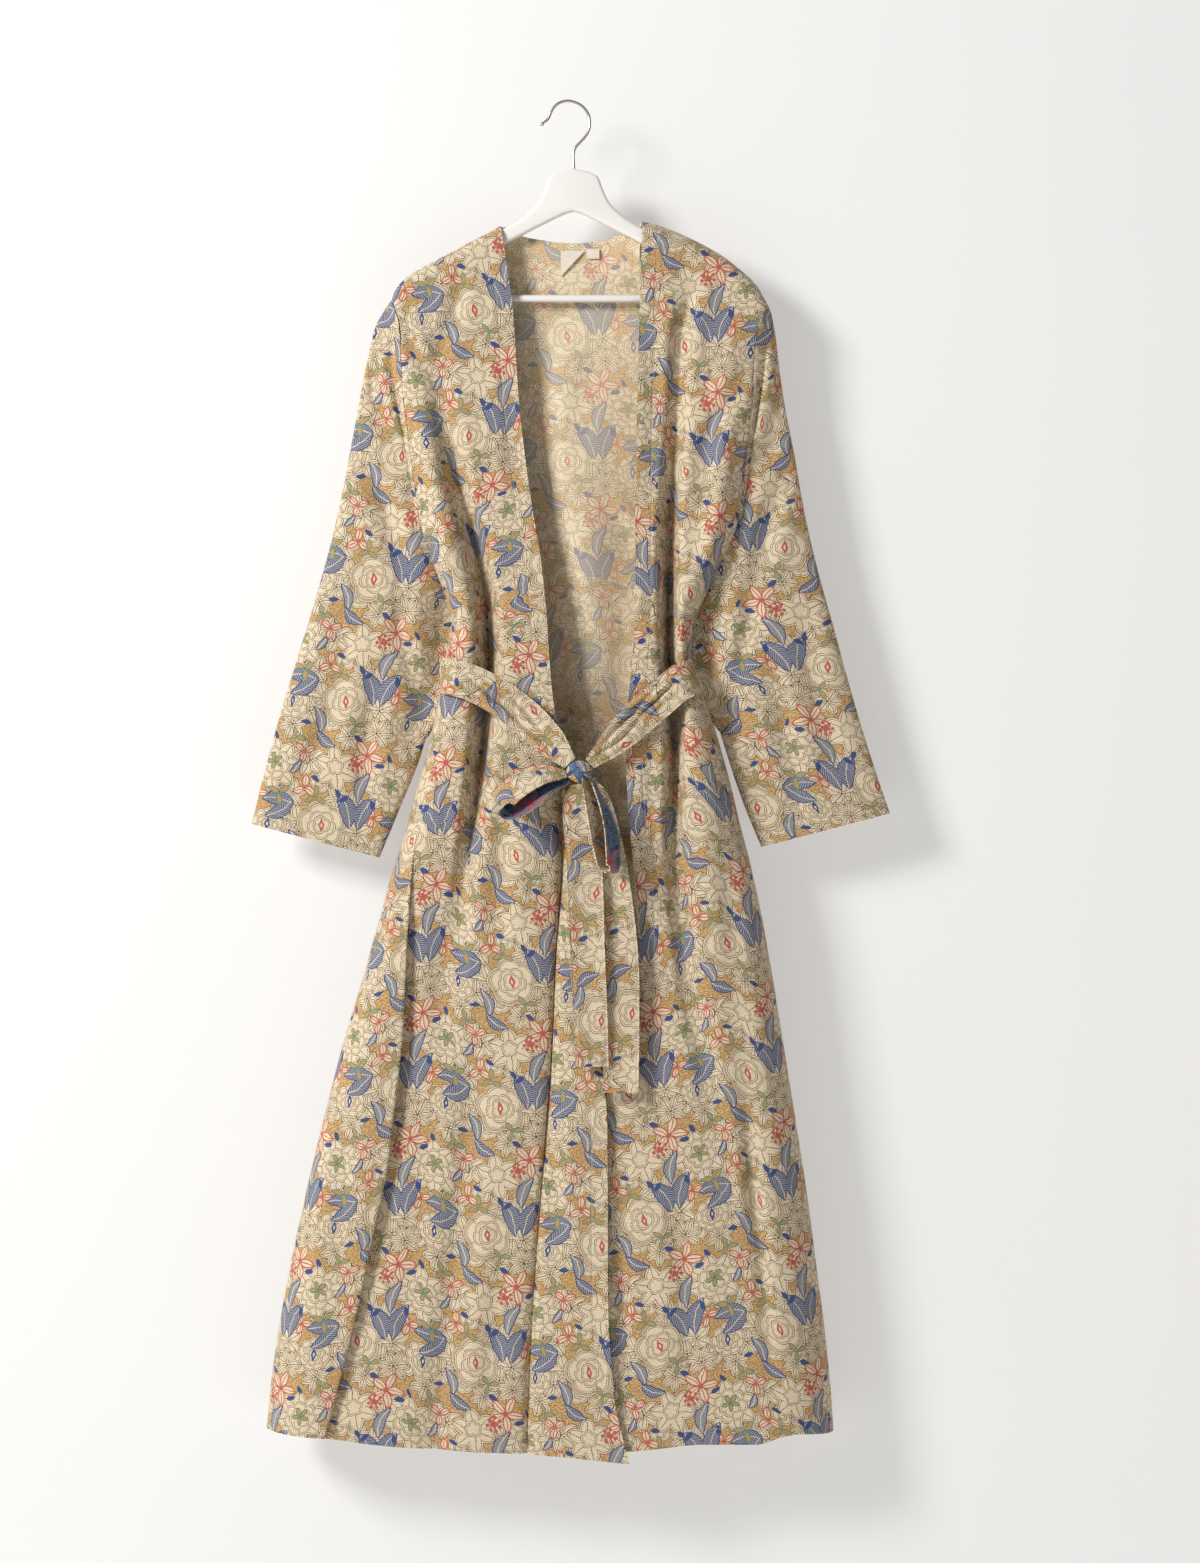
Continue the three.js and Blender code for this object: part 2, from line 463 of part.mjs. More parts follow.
// One front, left or right, bodice or skirt, as a grid from the side seam to the free edge.
function frontPanel(side, rows, topLine, bottomLine, edge, layer) {
  const left = side === 'l';
  const stops = left ? leftStops : rightStops;
  const first = rows[0];
  const last = rows[rows.length - 1];
  const sideTop = first[`${side}z`];
  const sideBottom = last[`${side}z`];
  const grid = rows.map((row) => {
    const sideX = row[`${side}x`];
    const g = (sideTop - row[`${side}z`]) / (sideTop - sideBottom);
    const edgeZ = mix(topLine(edge[0].x, 1), bottomLine(edge[edge.length - 1].x, 1), g);
    const edgeX = read(edge, 'z', 'x', edgeZ);
    return stops.map((stop) => {
      let foldX = mix(sideX, edgeX, foldShare);
      const skirt = sideBottom < stripFold[0].z - 1;
      if (left && skirt) foldX = read(stripFold, 'z', 'x', row.lz);
      const s = left ? leftStop(stop, sideX, foldX, edgeX) : mix(sideX, edgeX, stop);
      const share = (s - sideX) / (edgeX - sideX);
      const top = topLine(s, share);
      const z = mix(top, bottomLine(s, share), g);
      const drop = sideTop > -300 ? (top - z) : shoulderRound;
      const y = depthAt('front', frontFolds, side, s, z, sideX, drop) + layer(s, z, edgeX);
      const lap = left && skirt ? stripShape(s, foldX, row.lz) : { shift: 0, dip: 0 };
      const arch = quarterRound(Math.abs(s - sideX) / (2 * stripTurn));
      return vec(s + lap.shift * arch, -(y - lap.dip), z);
    });
  });
  return panelFrom(grid, front);
}

// Lines across the fronts. The second argument is the share of the way to the free edge.
const leftWaist = (x, share) => mix(bodiceRows[13].lz, -593, share);
const rightWaist = (x, share) => mix(bodiceRows[13].rz, -586, share);
const shoulderLine = (table, tip, neck) => (x, share) => (
  read(table, 'x', 'z', mix(tip, neck, clamp(share))));
const hemLine = (table, from, to) => (x, share) => read(table, 'x', 'z', mix(from, to, share));

// Where the fronts cross below the bow, the left lies over the right.
const lapOver = (x, z, edgeX) => 5 * clamp((-760 - z) / 200) * clamp(1 - (edgeX - x) / 90);
const lapUnder = (x, z, edgeX) => -6 * clamp((-900 - z) / 120) * clamp(1 - (x - edgeX) / 80);

const frontBodiceLeft = frontPanel('l', bodiceRows, shoulderLine(leftShoulder, -200, -76),
  leftWaist, leftEdge.slice(0, 7), lapOver);
const frontBodiceRight = frontPanel('r', bodiceRows, shoulderLine(rightShoulder, 226, 85),
  rightWaist, rightEdge.slice(0, 5), lapUnder);
const frontSkirtLeft = frontPanel('l', skirtRows, leftWaist, hemLine(leftHem, -342, 70),
  leftEdge.slice(6), lapOver);
const frontSkirtRight = frontPanel('r', skirtRows, rightWaist, hemLine(rightHem, 302, 26),
  rightEdge.slice(4), lapUnder);

// Places across the back, from the left side (0) to the right side (1).
const backStops = [0, 0.015, 0.04, 0.09, 0.15, 0.215, 0.28, 0.292, 0.34, 0.4, 0.46, 0.54, 0.6,
  0.66, 0.708, 0.72, 0.785, 0.85, 0.91, 0.96, 0.985, 1];
const neckStart = 0.28;       // stops of the two neck points
const neckEnd = 0.72;

function backTopX(share) {
  if (share < neckStart) return mix(-200, -76, share / neckStart);
  if (share > neckEnd) return mix(85, 226, (share - neckEnd) / (1 - neckEnd));
  return mix(-76, 85, (share - neckStart) / (neckEnd - neckStart));
}

function backTopZ(share, x) {
  if (share < neckStart) return read(leftShoulder, 'x', 'z', x);
  if (share > neckEnd) return read(rightShoulder, 'x', 'z', x);
  return read(backNeck, 'x', 'z', x);
}

const backWaistZ = (share) => mix(-593, -591, share)
  + backWaistRise * Math.sin(Math.PI * clamp(share));

function backDepth(x, z, leftX, rightX, drop) {
  const side = x - leftX < rightX - x ? 'l' : 'r';
  return depthAt('back', backFolds, side, x, z, side === 'l' ? leftX : rightX, drop);
}

function backBodiceGrid() {
  const last = bodiceRows[bodiceRows.length - 1];
  return bodiceRows.map((row) => backStops.map((share) => {
    const gl = (bodiceRows[0].lz - row.lz) / (bodiceRows[0].lz - last.lz);
    const gr = (bodiceRows[0].rz - row.rz) / (bodiceRows[0].rz - last.rz);
    const g = mix(gl, gr, share);
    const across = mix(row.lx, row.rx, share);
    const topX = backTopX(share);
    const tipX = mix(bodiceRows[0].lx, bodiceRows[0].rx, share);
    const x = across + (topX - tipX) * (1 - g) ** 1.5;
    const top = backTopZ(share, topX);
    const z = mix(top, backWaistZ(share), g);
    const drop = top - z;
    const neck = share > neckStart && share < neckEnd;
    const y = backDepth(x, z, row.lx, row.rx, neck ? shoulderRound : drop);
    if (!neck) return vec(x, y, z);
    const free = read(backNeck, 'x', 'y', topX);
    return vec(x, mix(free, y, clamp(drop / neckFade)), z);
  }));
}

function backSkirtGrid() {
  const first = skirtRows[0];
  const last = skirtRows[skirtRows.length - 1];
  return skirtRows.map((row) => backStops.map((share) => {
    const g = (first.lz - row.lz) / (first.lz - last.lz);
    const x = mix(row.lx, row.rx, share);
    const hem = read(backHem, 'x', 'z', mix(last.lx, last.rx, share));
    const z = mix(backWaistZ(share), hem, g);
    return vec(x, backDepth(x, z, row.lx, row.rx, shoulderRound), z);
  }));
}

const backBodice = panelFrom(backBodiceGrid(), back);
const backSkirt = panelFrom(backSkirtGrid(), back);

// Shoulder seams: the two edges meet over the hanger's arm with the normal standing up.
function rollShoulder(panel, sign, isSeam) {
  const row = panel.grid[0];
  row.forEach((point, j) => {
    if (!isSeam(j)) return;
    const a = row[Math.max(0, j - 1)];
    const b = row[Math.min(row.length - 1, j + 1)];
    const slope = Math.atan2(b.z - a.z, b.x - a.x);
    const up = vec(-Math.sin(slope), 0, Math.cos(slope));
    point.y = sign * seamGap;
    panel.normals[0][j] = up.z < 0 ? up.negate() : up;
  });
}
rollShoulder(frontBodiceLeft, -1, () => true);
rollShoulder(frontBodiceRight, -1, () => true);
rollShoulder(backBodice, 1, (j) => backStops[j] <= neckStart || backStops[j] >= neckEnd);

const lastBodice = bodiceRows.length - 1;
const lastSkirt = skirtRows.length - 1;
const endOf = (panel) => panel.grid[0].length - 1;
sew(frontBodiceLeft, frontSkirtLeft, edgeRow(frontBodiceLeft, lastBodice, -1),
  edgeRow(frontSkirtLeft, 0, 1));
sew(frontBodiceRight, frontSkirtRight, edgeRow(frontBodiceRight, lastBodice, -1),
  edgeRow(frontSkirtRight, 0, 1));
sew(backBodice, backSkirt, edgeRow(backBodice, lastBodice, -1), edgeRow(backSkirt, 0, 1),
  1.5 * seamGap);
sew(frontBodiceLeft, backBodice, edgeColumn(frontBodiceLeft, 0, 1, underarmRow, lastBodice),
  edgeColumn(backBodice, 0, 1, underarmRow, lastBodice));
sew(frontBodiceRight, backBodice, edgeColumn(frontBodiceRight, 0, 1, underarmRow, lastBodice),
  edgeColumn(backBodice, endOf(backBodice), -1, underarmRow, lastBodice));
sew(frontSkirtLeft, backSkirt, edgeColumn(frontSkirtLeft, 0, 1, 0, lastSkirt),
  edgeColumn(backSkirt, 0, 1, 0, lastSkirt));
sew(frontSkirtRight, backSkirt, edgeColumn(frontSkirtRight, 0, 1, 0, lastSkirt),
  edgeColumn(backSkirt, endOf(backSkirt), -1, 0, lastSkirt));

// ---------------------------------------------------------------- sleeves
// The first ring follows the armhole; the others are flat rings between two ends.
function sleeve(sections, frontSide, backColumn, outwards) {
  const first = [];
  const firstNormals = [];
  const lift = vec(outwards * armholeGap, 0, 0);
  const take = (panel, i, j, step) => {
    const point = panel.grid[i][j];
    const inner = panel.grid[i][j + step];
    const way = point.clone().sub(inner).normalize().multiplyScalar(armholeGap);
    first.push(point.clone().add(way));
    firstNormals.push(panel.normals[i][j].clone());
  };
  const step = backColumn === 0 ? 1 : -1;
  const under = frontSide.grid[underarmRow][0];
  first.push(frontSide.grid[0][0].clone().setY(0).add(lift).setZ(frontSide.grid[0][0].z - armholeGap));
  firstNormals.push(vec(outwards * 0.7, 0, 0.7));
  for (let i = 1; i < underarmRow; i += 1) take(frontSide, i, 0, 1);
  first.push(vec(under.x + outwards * 4.5, 0, under.z + 5));
  firstNormals.push(vec(-outwards * 0.6, 0, -0.8));
  for (let i = underarmRow - 1; i > 0; i -= 1) take(backBodice, i, backColumn, step);
  const top = first[0].z;
  const bottom = first[underarmRow].z;
  const angles = first.map((p, k) => {
    const t = clamp((top - p.z) / (top - bottom));
    return k <= underarmRow ? Math.PI * t : Math.PI * (2 - t);
  });
  const rings = sections.map((s) => angles.map((angle) => {
    const c = Math.cos(angle);
    const sine = Math.sin(angle);
    const along = (1 - c) / 2;
    const deep = Math.sign(sine) * Math.abs(sine) ** sleeveFlatness * s.half;
    return vec(mix(s.ox, s.ix, along), s.y - deep, mix(s.oz, s.iz, along));
  }));
  const grid = [first, ...rings];
  const normals = gridNormals(grid, true);
  const outer = vec(outwards, 0, 0);
  if (normals[6][0].dot(outer) < 0) normals.forEach((row) => row.forEach((n) => n.negate()));
  normals[0] = firstNormals.map((n) => n.normalize());
  return { grid, normals };
}

// The front and the back of a sleeve, which meet at its outer fold and under the arm.
function sleeveHalves(tube) {
  const cut = (list, from, to) => list.map((row) => (
    [...row, row[0]].slice(from, to + 1).map((entry) => entry.clone())));
  const whole = tube.grid[0].length;
  const front = { grid: cut(tube.grid, 0, underarmRow), normals: cut(tube.normals, 0, underarmRow) };
  const back = {
    grid: cut(tube.grid, underarmRow, whole), normals: cut(tube.normals, underarmRow, whole),
  };
  const lastRing = tube.grid.length - 1;
  sew(front, back, edgeColumn(front, 0, 1, 0, lastRing),
    edgeColumn(back, whole - underarmRow, -1, 0, lastRing));
  sew(front, back, edgeColumn(front, underarmRow, -1, 0, lastRing),
    edgeColumn(back, 0, 1, 0, lastRing));
  return { front, back };
}

// ---------------------------------------------------------------- belt and bow
// A flat band along a line; lean is the direction across the band where it is given.
function ribbon(table, lean, stations, across) {
  const line = new THREE.CatmullRomCurve3(table.map((r) => vec(r.x, r.y, r.z)), false,
    'centripetal');
  const half = new THREE.CatmullRomCurve3(table.map((r) => vec(r.half, 0, 0)));
  const grid = [];
  for (let i = 0; i < stations; i += 1) {
    const t = i / (stations - 1);
    const along = line.getTangent(t);
    const reach = half.getPoint(t).x;
    const wide = lean ? vec(lean.x, lean.y, lean.z) : along.clone().cross(back);
    wide.addScaledVector(along, -wide.dot(along)).normalize();
    const middle = line.getPoint(t);
    grid.push(Array.from({ length: across }, (_, j) => {
      const s = (2 * j) / (across - 1) - 1;
      return middle.clone().addScaledVector(wide, s * reach);
    }));
  }
  return { grid, normals: gridNormals(grid, false) };
}

// Point on the outside of a front at (x, z), as if pulled taut, moved out by a distance.
function overFront(side, x, z, out) {
  const ridges = frontFolds.filter((fold) => fold.line.some((point) => point.deep < 0));
  const place = (atX, atZ) => {
    const sideX = read(skirtRows, 'lz', `${side}x`, atZ);
    const inner = side === 'l' ? Math.max(atX, sideX + 0.2) : Math.min(atX, sideX - 0.2);
    return vec(inner, -depthAt('front', ridges, side, inner, atZ, sideX, shoulderRound), atZ);
  };
  const step = 0.4;
  const alongX = place(x + step, z).sub(place(x - step, z));
  const alongZ = place(x, z + step).sub(place(x, z - step));
  const normal = alongX.cross(alongZ).normalize();
  return place(x, z).addScaledVector(normal, normal.y > 0 ? -out : out);
}

// Half of the belt from a side seam to the knot: on the front at first, then free.
function beltHalf(side, table) {
  const flat = ribbon(table.map((row) => ({ ...row, y: 0 })), null, 21, 5);
  const free = new THREE.CatmullRomCurve3(table.map((row) => vec(row.free, 0, 0)));
  const out = cloth / 2 + beltLift + beltWall / 2;
  const last = flat.grid.length - 1;
  const grid = flat.grid.map((row, i) => row.map((point) => {
    const on = overFront(side, point.x, point.z, out);
    const share = clamp(free.getPoint(i / last).x);
    return vec(on.x, mix(on.y, knotAt.y, share), point.z);
  }));
  return { grid, normals: gridNormals(grid, false) };
}

function knotGeometry() {
  const ball = new THREE.SphereGeometry(1, 16, 12);
  const place = ball.getAttribute('position');
  for (let i = 0; i < place.count; i += 1) {
    const p = vec(place.getX(i), place.getY(i), place.getZ(i));
    const groove = 1 - 0.07 * (0.5 + 0.5 * Math.cos(5 * Math.atan2(p.z, p.x) + 3 * p.y));
    place.setXYZ(i, knotAt.x + p.x * knotSize.x * groove, knotAt.y + p.y * knotSize.y,
      knotAt.z + p.z * knotSize.z * groove);
  }
  return cleaned(ball);
}

function cleaned(geometry) {
  geometry.deleteAttribute('normal');
  geometry.deleteAttribute('uv');
  const merged = mergeVertices(geometry, 1e-4);
  merged.computeVertexNormals();
  return merged;
}

// ---------------------------------------------------------------- labels
// A thin plate in front of the back's inner face, from corners in x and z.
function labelPlate(corners) {
  const behind = ([x, z]) => {
    const hanging = backDepth(x, z, -200, 226, shoulderRound);
    const drop = clamp((read(backNeck, 'x', 'z', x) - z) / neckFade);
    return mix(read(backNeck, 'x', 'y', x), hanging, drop);
  };
  const y = Math.min(...corners.map(behind)) - cloth / 2 - liftOff;
  const points = [];
  for (const depth of [0, labelWall]) {
    corners.forEach(([x, z]) => points.push(vec(x, y - depth, z)));
  }
  const n = corners.length;
  const faces = [];
  for (let i = 1; i < n - 1; i += 1) faces.push([0, i, i + 1], [n, n + i + 1, n + i]);
  for (let i = 0; i < n; i += 1) {
    const k = (i + 1) % n;
    faces.push([i, n + i, n + k], [i, n + k, k]);
  }
  return solidFrom(points, faces);
}

// ---------------------------------------------------------------- hanger
function hangerBody() {
  const right = hangerOutline.map(({ r, z }) => new THREE.Vector2(hangerX + r, z));
  const left = hangerOutline.slice(1, -1).reverse()
    .map(({ r, z }) => new THREE.Vector2(hangerX - r, z));
  const flat = hangerThick - 2 * hangerBevel;
  const body = new THREE.ExtrudeGeometry(new THREE.Shape([...right, ...left]), {
    depth: flat, bevelEnabled: true, bevelThickness: hangerBevel, bevelSize: hangerBevel,
    bevelOffset: -hangerBevel, bevelSegments: 3,
  });
  body.translate(0, 0, -flat / 2);
  body.rotateX(Math.PI / 2);
  return cleaned(body);
}

function trouserBar() {
  const bar = new THREE.CylinderGeometry(barRadius, barRadius, 2 * barHalf, 14, 1);
  bar.rotateZ(Math.PI / 2);
  bar.translate(hangerX, 0, barZ);
  return cleaned(bar);
}

function hookWire() {
  const line = new THREE.CatmullRomCurve3(hookLine.map(({ x, z }) => vec(x, 0, z)), false,
    'centripetal');
  const section = new THREE.Shape();
  section.absarc(0, 0, wireRadius, 0, 2 * Math.PI);
  return cleaned(new THREE.ExtrudeGeometry(section, {
    steps: 44, curveSegments: 4, extrudePath: line, bevelEnabled: false,
  }));
}

function hookBead() {
  const bead = new THREE.SphereGeometry(hookBeadRadius, 12, 8);
  const away = hookBeadRadius + 0.2;
  bead.translate(hookLine[0].x - away * 0.78, 0, hookLine[0].z - away * 0.62);
  return cleaned(bead);
}

// ---------------------------------------------------------------- materials and scene
const finish = (color, roughness, metalness = 0) => new THREE.MeshStandardMaterial({
  color, roughness, metalness,
});
const printed = finish(0xb09a78, 0.8);
const printedBelt = finish(0xa8926f, 0.8);
const label = finish(0xe9dfcb, 0.75);
const whitePaint = finish(0xefede8, 0.45);
const steel = finish(0x9a9a98, 0.3, 1);

const robe = new THREE.Group();
function add(name, geometry, material) {
  const mesh = new THREE.Mesh(geometry, material);
  mesh.name = name;
  robe.add(mesh);
}

add('back_bodice', wall(backBodice, cloth), printed);
add('back_skirt', wall(backSkirt, cloth), printed);
add('front_bodice_left', wall(frontBodiceLeft, cloth), printed);
add('front_bodice_right', wall(frontBodiceRight, cloth), printed);
add('front_skirt_left', wall(frontSkirtLeft, cloth), printed);
add('front_skirt_right', wall(frontSkirtRight, cloth), printed);
const sleeveOnLeft = sleeveHalves(sleeve(leftSleeve, frontBodiceLeft, 0, -1));
const sleeveOnRight = sleeveHalves(sleeve(rightSleeve, frontBodiceRight, endOf(backBodice), 1));
add('sleeve_left_front', wall(sleeveOnLeft.front, cloth), printed);
add('sleeve_left_back', wall(sleeveOnLeft.back, cloth), printed);
add('sleeve_right_front', wall(sleeveOnRight.front, cloth), printed);
add('sleeve_right_back', wall(sleeveOnRight.back, cloth), printed);
add('belt_left', wall(beltHalf('l', beltLeft), beltWall), printedBelt);
add('belt_right', wall(beltHalf('r', beltRight), beltWall), printedBelt);
add('belt_knot', knotGeometry(), printedBelt);
add('bow_loop_left', wall(ribbon(loopLeft, loopLeftLean, 25, 4), beltWall - 0.6), printedBelt);
add('bow_loop_right', wall(ribbon(loopRight, loopRightLean, 25, 4), beltWall - 0.6),
  printedBelt);
add('belt_tail_left', wall(ribbon(tailLeft, null, 16, 5), beltWall), printedBelt);
add('belt_tail_right', wall(ribbon(tailRight, null, 17, 5), beltWall), printedBelt);
add('neck_label', labelPlate([[neckLabel.left, neckLabel.top], [neckLabel.right, neckLabel.top],
  [neckLabel.left, neckLabel.bottom]]), label);
add('size_tab', labelPlate([[sizeTab.left, sizeTab.top], [sizeTab.right, sizeTab.top],
  [sizeTab.right, sizeTab.bottom], [sizeTab.left, sizeTab.bottom]]), label);
add('hanger_body', hangerBody(), whitePaint);
add('trouser_bar', trouserBar(), whitePaint);
add('hanger_hook', hookWire(), steel);
add('hook_bead', hookBead(), steel);

export default robe;
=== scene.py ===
import math
import bpy
import bmesh
import numpy as np
from mathutils import Matrix, Vector


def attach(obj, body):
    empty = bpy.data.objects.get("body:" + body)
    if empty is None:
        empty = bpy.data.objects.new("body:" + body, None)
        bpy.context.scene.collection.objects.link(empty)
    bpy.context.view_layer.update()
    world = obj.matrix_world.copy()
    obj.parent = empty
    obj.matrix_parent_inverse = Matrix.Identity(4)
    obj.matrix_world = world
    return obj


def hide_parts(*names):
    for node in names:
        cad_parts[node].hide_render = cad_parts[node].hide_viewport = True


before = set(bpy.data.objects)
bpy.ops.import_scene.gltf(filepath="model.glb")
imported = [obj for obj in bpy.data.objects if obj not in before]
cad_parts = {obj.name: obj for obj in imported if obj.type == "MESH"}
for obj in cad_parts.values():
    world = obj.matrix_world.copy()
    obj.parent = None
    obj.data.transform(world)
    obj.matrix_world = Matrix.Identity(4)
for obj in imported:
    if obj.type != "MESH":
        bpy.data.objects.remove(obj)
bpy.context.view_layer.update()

mm = 0.001  # all tables are in millimetres, +Z up, the front faces -Y
print("frame loaded")

scene = bpy.context.scene


def put(name, data):
    made = bpy.data.objects.new(name, data)
    scene.collection.objects.link(made)
    return made


def meshFrom(bm, name):
    mesh = bpy.data.meshes.new(name)
    bm.to_mesh(mesh)
    bm.free()
    return mesh


def standFor(nodes):
    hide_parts(*nodes.split())


camera = put("camera", bpy.data.cameras.new("camera"))
camera.location = (0.0368, -3.5, -0.7746)
camera.rotation_euler = (math.radians(90), 0, 0)
camera.data.sensor_fit = "VERTICAL"
camera.data.sensor_height = 36
camera.data.lens = 70.7
scene.camera = camera


def rows(columns, *lines):
    return {name: np.array([line[i] for line in lines], float)
            for i, name in enumerate(columns.split())}


def read(table, key, column, at):  # smooth curve through a table that never overshoots
    k, v = table[key], table[column]
    if k[0] > k[-1]:
        k, v = k[::-1], v[::-1]
    rise = np.diff(v) / np.diff(k)
    slope = np.empty_like(v)
    slope[0], slope[-1] = rise[0], rise[-1]
    same = rise[:-1] * rise[1:] > 0
    slope[1:-1] = np.where(same, 2 * rise[:-1] * rise[1:] / np.where(same, rise[:-1] + rise[1:], 1), 0)
    x = np.clip(at, k[0], k[-1])
    i = np.clip(np.searchsorted(k, x, side="right") - 1, 0, len(k) - 2)
    h = k[i + 1] - k[i]
    t = (x - k[i]) / h
    ease = t * t * (3 - 2 * t)
    return v[i] + (v[i + 1] - v[i]) * ease + h * t * (1 - t) * ((1 - t) * slope[i] - t * slope[i + 1])


def mix(a, b, t):
    return a + (b - a) * t


def clamp(t):
    return np.clip(t, 0, 1)


def quarterRound(t):
    return np.sqrt(1 - (1 - clamp(t)) ** 2)


def foldDepth(folds, x, z):  # what a list of soft folds takes away from the depth
    total = np.zeros_like(x)
    for fold in folds:
        line = fold["line"]
        inside = (z <= line["z"][0]) & (z >= line["z"][-1] - 1)
        away = (x - read(line, "z", "x", z)) / fold["width"]
        pinch = fold.get("pinch", 0)
        broad = mix(np.exp(-away * away), np.exp(-away ** 4), fold.get("square", 0))
        shape = (1 - 0.4 * pinch) * broad + pinch * np.exp(-(away / 0.28) ** 2)
        total += np.where(inside, read(line, "z", "deep", z) * shape, 0)
    return total


def foldShift(folds, x, z):  # draws the banks of a closed fold together
    total = np.zeros_like(x)
    for fold in folds:
        if "close" in fold:
            line = fold["line"]
            q = (x - read(line, "z", "x", z)) / fold["bank"]
            pull = fold["close"] * read(line, "z", "deep", z) / 20
            pull = np.where((z <= line["z"][0]) & (z >= line["z"][-1] - 1), pull, 0)
            total -= pull * q * np.exp(0.5 - q * q / 2)
    return total


creaseRows = "x0 z0 x1 z1 wide deep bow"


def creaseDepth(creases, x, z):  # short troughs with a ridge on one side, uneven along their length
    total = np.zeros_like(x)
    for x0, z0, x1, z1, wide, deep, bow in zip(*(creases[column] for column in creaseRows.split())):
        dx, dz = x1 - x0, z1 - z0
        long = math.hypot(dx, dz)
        s = ((x - x0) * dx + (z - z0) * dz) / long ** 2
        off = ((x - x0) * dz - (z - z0) * dx) / long - bow * 4 * s * (1 - s)
        fade = np.sin(math.pi * clamp(s)) ** 0.8 * (1 + 0.25 * np.sin(7 * s + x0))
        q = off / wide
        total += deep * fade * (np.exp(-q * q) - 0.45 * np.exp(-((np.abs(q) - 1.9) / 0.9) ** 2))
    return total


def ripple(x, z, seed):  # faint unevenness of hanging cloth
    return (0.45 * np.sin(x / 23 + z / 61 + seed) * np.sin(z / 47 - x / 90 + 2 * seed)
            + 0.3 * np.sin(x / 11 - z / 83 + 3 * seed) * np.sin(z / 29 + seed))


def gridNormals(points, outwards, closed=False):
    down = np.gradient(points, axis=0)
    across = np.gradient(points, axis=1)
    if closed:
        across[:, 0] = across[:, -1] = (points[:, 1] - points[:, -2]) / 2
    normal = np.cross(down, across)
    normal /= np.maximum(np.linalg.norm(normal, axis=2, keepdims=True), 1e-9)
    row = normal.shape[0] // 2
    facing = np.dot(normal[row, normal.shape[1] // 2], outwards)
    if closed:
        facing = np.sum(normal[row] * (points[row] - points[row].mean(axis=0)))
    return normal if facing > 0 else -normal


def spread(columns, dense=1.0):  # places from 0 to 1, closer together at 0
    return np.linspace(0, 1, columns) ** dense


# A cloth wall over a grid of points, its outer face lift millimetres off them.
def clothPiece(name, points, uv, outwards, inks, lift=1.0, thick=1.0, edge=None, closed=False):
    down, across = points.shape[0] - 1, points.shape[1] - 1
    bm = bmesh.new()
    bmesh.ops.create_grid(bm, x_segments=across, y_segments=down, size=1)
    mesh = meshFrom(bm, name)
    flat = np.empty(len(mesh.vertices) * 3)
    mesh.vertices.foreach_get("co", flat)
    flat = flat.reshape(-1, 3)
    j = np.rint((flat[:, 0] + 1) / 2 * across).astype(int)
    i = np.rint((1 - flat[:, 1]) / 2 * down).astype(int)
    normals = gridNormals(points, outwards, closed)
    outer = points + normals * lift
    mesh.vertices.foreach_set("co", (outer[i, j] * mm).ravel())
    loops = np.empty(len(mesh.loops), int)
    mesh.loops.foreach_get("vertex_index", loops)
    for layer, values in (("print", uv), ("edge", edge)):
        if values is None:
            values = np.dstack((np.zeros(points.shape[:2]), np.full(points.shape[:2], 100.0)))
        made = mesh.uv_layers.new(name=layer)
        made.uv.foreach_set("vector", (values[i, j][loops] * mm).ravel())
    for ink in inks:
        mesh.materials.append(ink)
    mesh.update()
    centre = mesh.polygons[(down // 2) * across + across // 2]
    v = centre.vertices[0]
    if np.dot(np.array(centre.normal), normals[i[v], j[v]]) < 0:
        mesh.flip_normals()
    if closed:
        bm = bmesh.new()
        bm.from_mesh(mesh)
        bmesh.ops.remove_doubles(bm, verts=bm.verts, dist=0.01 * mm)
        bm.to_mesh(mesh)
        bm.free()
    piece = put(name, mesh)
    wall = piece.modifiers.new("wall", "SOLIDIFY")
    wall.thickness = thick * mm
    wall.offset = -1
    wall.use_quality_normals = True
    wall.material_offset = len(inks) - 1
    bpy.context.view_layer.update()
    solid = bpy.data.meshes.new_from_object(piece.evaluated_get(bpy.context.evaluated_depsgraph_get()))
    piece.modifiers.clear()
    piece.data = solid
    solid.name = name
    solid.polygons.foreach_set("use_smooth", np.ones(len(solid.polygons), bool))
    solid.set_sharp_from_angle(angle=math.radians(50))
    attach(piece, "root")
    return piece


def running(steps, axis):  # lengths summed from zero along one axis
    return np.concatenate((np.zeros_like(np.take(steps, [0], axis)), np.cumsum(steps, axis=axis)), axis=axis)


def turned(u, v, degrees, shift):
    c, s = math.cos(math.radians(degrees)), math.sin(math.radians(degrees))
    return np.dstack((u * c - v * s + shift[0], u * s + v * c + shift[1]))


# Lays the print out flat: arc length across, length down, turned by the panel's grain.
def grainUv(points, anchorX, turn, shift=(0, 0)):
    step = np.diff(points, axis=1)
    across = running(np.hypot(step[:, :, 0], step[:, :, 1]), 1)
    sign = np.sign(points[:, -1:, 0] - points[:, :1, 0])
    nearest = np.argmin(np.abs(points[:, :, 0] - anchorX), axis=1)
    own = np.arange(points.shape[0])
    start = across[own, nearest] - sign[:, 0] * (points[own, nearest, 0] - anchorX)
    u = (across - start[:, None]) * sign
    drop = np.diff(points, axis=0)
    extra = running(np.hypot(drop[:, :, 1], drop[:, :, 2]) - np.abs(drop[:, :, 2]), 0)
    return turned(u, points[:, :, 2] - extra, turn, shift)


